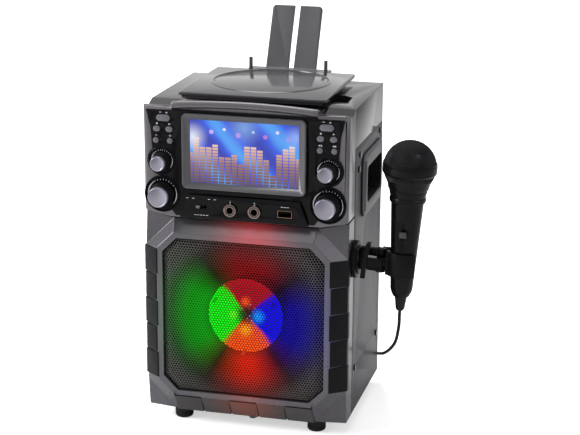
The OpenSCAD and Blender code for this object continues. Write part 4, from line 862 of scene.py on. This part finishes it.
# Lamps and loudspeaker behind the grille. A frosted reflector disc glows in four
# colours from four small lamps round its middle, and lights the black cone and baffle.
def lit_where(finish, side, depth, least=0.0):
    """Keep a finish's light where the depth is on this side of a value, in millimetres, and
    this share of it elsewhere"""
    tree = finish.node_tree
    glow = tree.nodes["Principled BSDF"].inputs["Emission Color"]
    split = tree.nodes.new("ShaderNodeSeparateXYZ")
    kept = tree.nodes.new("ShaderNodeMix")
    kept.data_type = "RGBA"
    kept.inputs["A"].default_value = (0, 0, 0, 1)
    tree.links.new(tree.nodes.new("ShaderNodeTexCoord").outputs["Object"], split.inputs["Vector"])
    where = sums(tree, side, split.outputs["Y"], depth * mm)
    tree.links.new(sums(tree, "MAXIMUM", where, least), kept.inputs["Factor"])
    tree.links.new(glow.links[0].from_socket, kept.inputs["B"])
    tree.links.new(kept.outputs["Result"], glow)


disc_light = lit_by_lamps(moulded("lit_reflector", tone(14, 14, 15), 0.5, spec=0.1), 1.5)
tree = disc_light.node_tree
glow = tree.nodes["Principled BSDF"].inputs["Emission Color"]
# The lamps' light on the dish round the disc is painted in as a weaker glow.
glow_here = dimmed(tree, around(tree, flat_place(tree), 0, 119.8), glow.links[0].from_socket,
                   ((0, 1), (38.4, 1), (38.8, 0.5), (120, 0.4)))
tree.links.new(glow_here, glow)
lit_where(disc_light, "GREATER_THAN", -27.6, 0.45)
for cad in ("light_dish", "light_board"):
    dressed(cad, disc_light)
# The lamps' light on the black cone, basket and baffle is painted in as a glow.
cone_black = lit_by_lamps(moulded("cone_paper_black", tone(7, 7, 8), 0.8, grain=0.9, relief=0.3, spec=0.05), 0.4,
                          (-6, 112), 4, 0.3)
lit_where(cone_black, "LESS_THAN", 8.5)
for cad in ("speaker_cone", "speaker_basket", "baffle"):
    dressed(cad, cone_black)
dressed("speaker_magnet", moulded("magnet_grey", tone(70, 70, 72), 0.6, metal=0.4))


# Disc lid. Flat glossy plate with a rounded front lip, a raised ring the size of a disc
# and a smooth panel inside it.
disc_middle = Matrix.Translation((0, 69 * mm, 338.5 * mm))
lid = merged_copy("disc_lid", "disc_lid_plate")
settled(rounded(lid, 0.6), "disc_lid", gloss_grey)
ring = turned("disc_ring", [(56.2, -0.2), (61.5, -0.2), (61.2, 0.15), (60.0, 1.1), (58.9, 1.2), (58.2, 0.9),
                            (57.9, 0.25), (57.2, 0.15), (56.8, 0.5), (56.2, 0.5)],
              disc_middle, 160)
settled(ring, None, gloss_grey, body="lid")
panel = turned("disc_panel", [(0, -0.2), (56.6, -0.2), (56.6, 0.45), (56.2, 0.6), (0, 0.6)], disc_middle, 128)
settled(panel, None, gloss_grey, body="lid")


# Cradle. Dark moulded shelf with two hooks and two leaning back plates.
cradle_grey = moulded("cradle_dark_plastic", tone(58, 58, 62), 0.3, grain=0.5, relief=0.06, coat=0.1, spec=0.3)
shell("cradle", "leaning_cradle", 0.5, cradle_grey)


# Handle cups. Textured frame round a deep black pocket on each side.
cup_grey = moulded("handle_frame_grey", tone(66, 64, 68), 0.4, grain=0.6, relief=0.25, spec=0.2)
cups = shell("handle_cups", "handle_pockets", 0.8, cup_grey)
pocket_black = moulded("pocket_black", tone(10, 10, 12), 0.5, spec=0.08)
spread(cups, pocket_black, lambda c, n: abs(c.x) < 103.6)


# Feet, screws. Turned rubber feet with a groove, a small clear bumper under the middle of
# the front, and black cross-head screws.
foot_rubber = moulded("foot_rubber", tone(18, 18, 19), 0.5, grain=0.7, relief=0.25, spec=0.2)
feet = []
for x in (-70, 70):
    for y in (-10.5, 118):
        feet.append(turned("foot", [(0, 0), (7.6, 0), (8.8, 0.8), (9.4, 2.2), (9.4, 4.6), (8.9, 5.1), (8.9, 5.9),
                                    (9.4, 6.4), (9.4, 14), (0, 14)],
                           Matrix.Translation((x * mm, y * mm, 0)), 64))
bpy.ops.object.select_all(action="DESELECT")
for foot in feet:
    foot.select_set(True)
bpy.context.view_layer.objects.active = feet[0]
bpy.ops.object.join()
feet = bpy.context.object
feet.name = "rubber_feet"
settled(feet, "feet", foot_rubber)
bumper = turned("clear_bumper", [(0, 0), (3.2, 0), (3.8, 0.4), (4, 1), (4, 14), (0, 14)],
                Matrix.Translation((0, 1.5 * mm, 0)), 48)
clear = moulded("clear_silicone", tone(226, 226, 224), 0.3, grain=0.8, relief=0.1)
clear.node_tree.nodes["Principled BSDF"].inputs["Transmission Weight"].default_value = 0.7
settled(bumper, None, clear, body="cabinet")
dressed("case_screws", moulded("screw_black", tone(36, 36, 38), 0.3, metal=0.7))


# Clip. Black nylon base, fixed jaw and sprung jaw with its thumb lever.
nylon = moulded("clip_nylon", tone(12, 12, 14), 0.36, grain=0.6, relief=0.12, spec=0.08)
shell("clip_base", "clip_fixed_half", 0.4, nylon)
shell("clip_jaw", "clip_sprung_half", 0.4, nylon)
steel = moulded("pin_steel", tone(190, 188, 184), 0.25, metal=1.0)
for cad in ("clip_pin", "lid_hinge_pins", "sled_screw", "spindle_motor"):
    dressed(cad, steel)


# Microphone. Soft-touch black barrel with a recessed switch panel; a round steel mesh
# head over dark foam, held by a flared ring.
def on_microphone(height=0):
    """The microphone's own axis, from the middle of the clip's jaws"""
    return (Matrix.Translation((jaws_x * mm, 0, jaws_z * mm)) @ Matrix.Rotation(lean, 4, "Y")
            @ Matrix.Translation((0, 0, height * mm)))


soft_black = moulded("barrel_soft_black", tone(12, 12, 13), 0.3, grain=0.5, relief=0.05, coat=0.1, spec=0.06)
shell("mic_body", "microphone_barrel", 0.35, soft_black)
shell("mic_switch", "microphone_slide", 0.4, moulded("slide_grey", tone(48, 48, 52), 0.4))
dressed("mic_relief", rubber_lead)

head_black = moulded("mesh_black_steel", tone(44, 44, 47), 0.32, metal=0.6, grain=0.3, spec=0.2)
bpy.ops.object.select_all(action="DESELECT")
bpy.ops.mesh.primitive_cube_add(size=0.03)
ball = bpy.context.object
ball.name = "microphone_mesh"
bpy.ops.object.mode_set(mode="EDIT")
bpy.ops.mesh.select_all(action="SELECT")
bpy.ops.mesh.subdivide(number_cuts=27)
bpy.ops.object.mode_set(mode="OBJECT")
for vertex in ball.data.vertices:
    vertex.co = vertex.co.normalized() * 25.6 * mm
wires = ball.modifiers.new("wires", "WIREFRAME")
wires.thickness = 0.5 * mm
wires.use_even_offset = False
bpy.ops.object.modifier_apply(modifier="wires")
ball.matrix_world = on_microphone(97)
bpy.ops.object.transform_apply(location=True, rotation=True, scale=True)
bpy.ops.object.mode_set(mode="EDIT")
bpy.ops.mesh.select_all(action="SELECT")
cut = on_microphone(84)
bpy.ops.mesh.bisect(plane_co=cut.translation, plane_no=cut.to_3x3() @ Vector((0, 0, -1)), clear_outer=True)
bpy.ops.object.mode_set(mode="OBJECT")
settled(ball, "mic_head", head_black)
foam = turned("microphone_foam", [(0, 78), (20, 78)] + [(24.6 * cos(radians(a)), 97 + 24.6 * sin(radians(a)))
              for a in range(-30, 90, 10)] + [(0, 121.6)], on_microphone(), 64)
settled(foam, None, moulded("foam_black", tone(16, 16, 17), 0.9, grain=1.2, relief=0.6), body="microphone")
neck = turned("microphone_ring", [(0, 75), (19, 75), (19.8, 76), (20.6, 80), (24.4, 89.5), (26.3, 91.6),
                                  (26.5, 93.5), (26.5, 99.5), (26.2, 101.2), (25.3, 101.6), (24.8, 99.5),
                                  (24.6, 93), (22, 86), (0, 84)],
              on_microphone(), 96)
settled(neck, None, soft_black, body="microphone")
collar = turned("microphone_collar", [(16, 62.5), (17.3, 62.5), (17.9, 64), (17.6, 65), (17.9, 66), (17.4, 67.5),
                                      (16, 67.5)], on_microphone(), 96)
settled(collar, None, soft_black, body="microphone")
dressed("mic_plug", nickel)


# Back. Dark moulded panel with its vents, and the sound outputs and supply inlet. It shows
# no light, because the baffle shuts the lamps in.
shell("rear_panel", "rear_cover", 0.4, moulded("rear_black_plastic", tone(52, 51, 54), 0.5, grain=0.8, relief=0.3))
dressed("rear_sockets", moulded("rear_socket_black", tone(34, 34, 36), 0.4))


# Works. Circuit boards, controls, disc player and its rails, seen when the lid is open.
board_green = moulded("board_green", tone(34, 92, 60), 0.45, grain=0.9)
for cad in ("main_board", "front_board"):
    dressed(cad, board_green)
dressed("control_pots", moulded("pot_can", tone(168, 166, 160), 0.35, metal=0.9))
for cad in ("tact_switches", "disc_chassis"):
    dressed(cad, well_black)
dressed("turntable", moulded("turntable_black", tone(40, 40, 43), 0.35, grain=0.6))
dressed("optical_sled", moulded("sled_blue_grey", tone(40, 48, 66), 0.4))
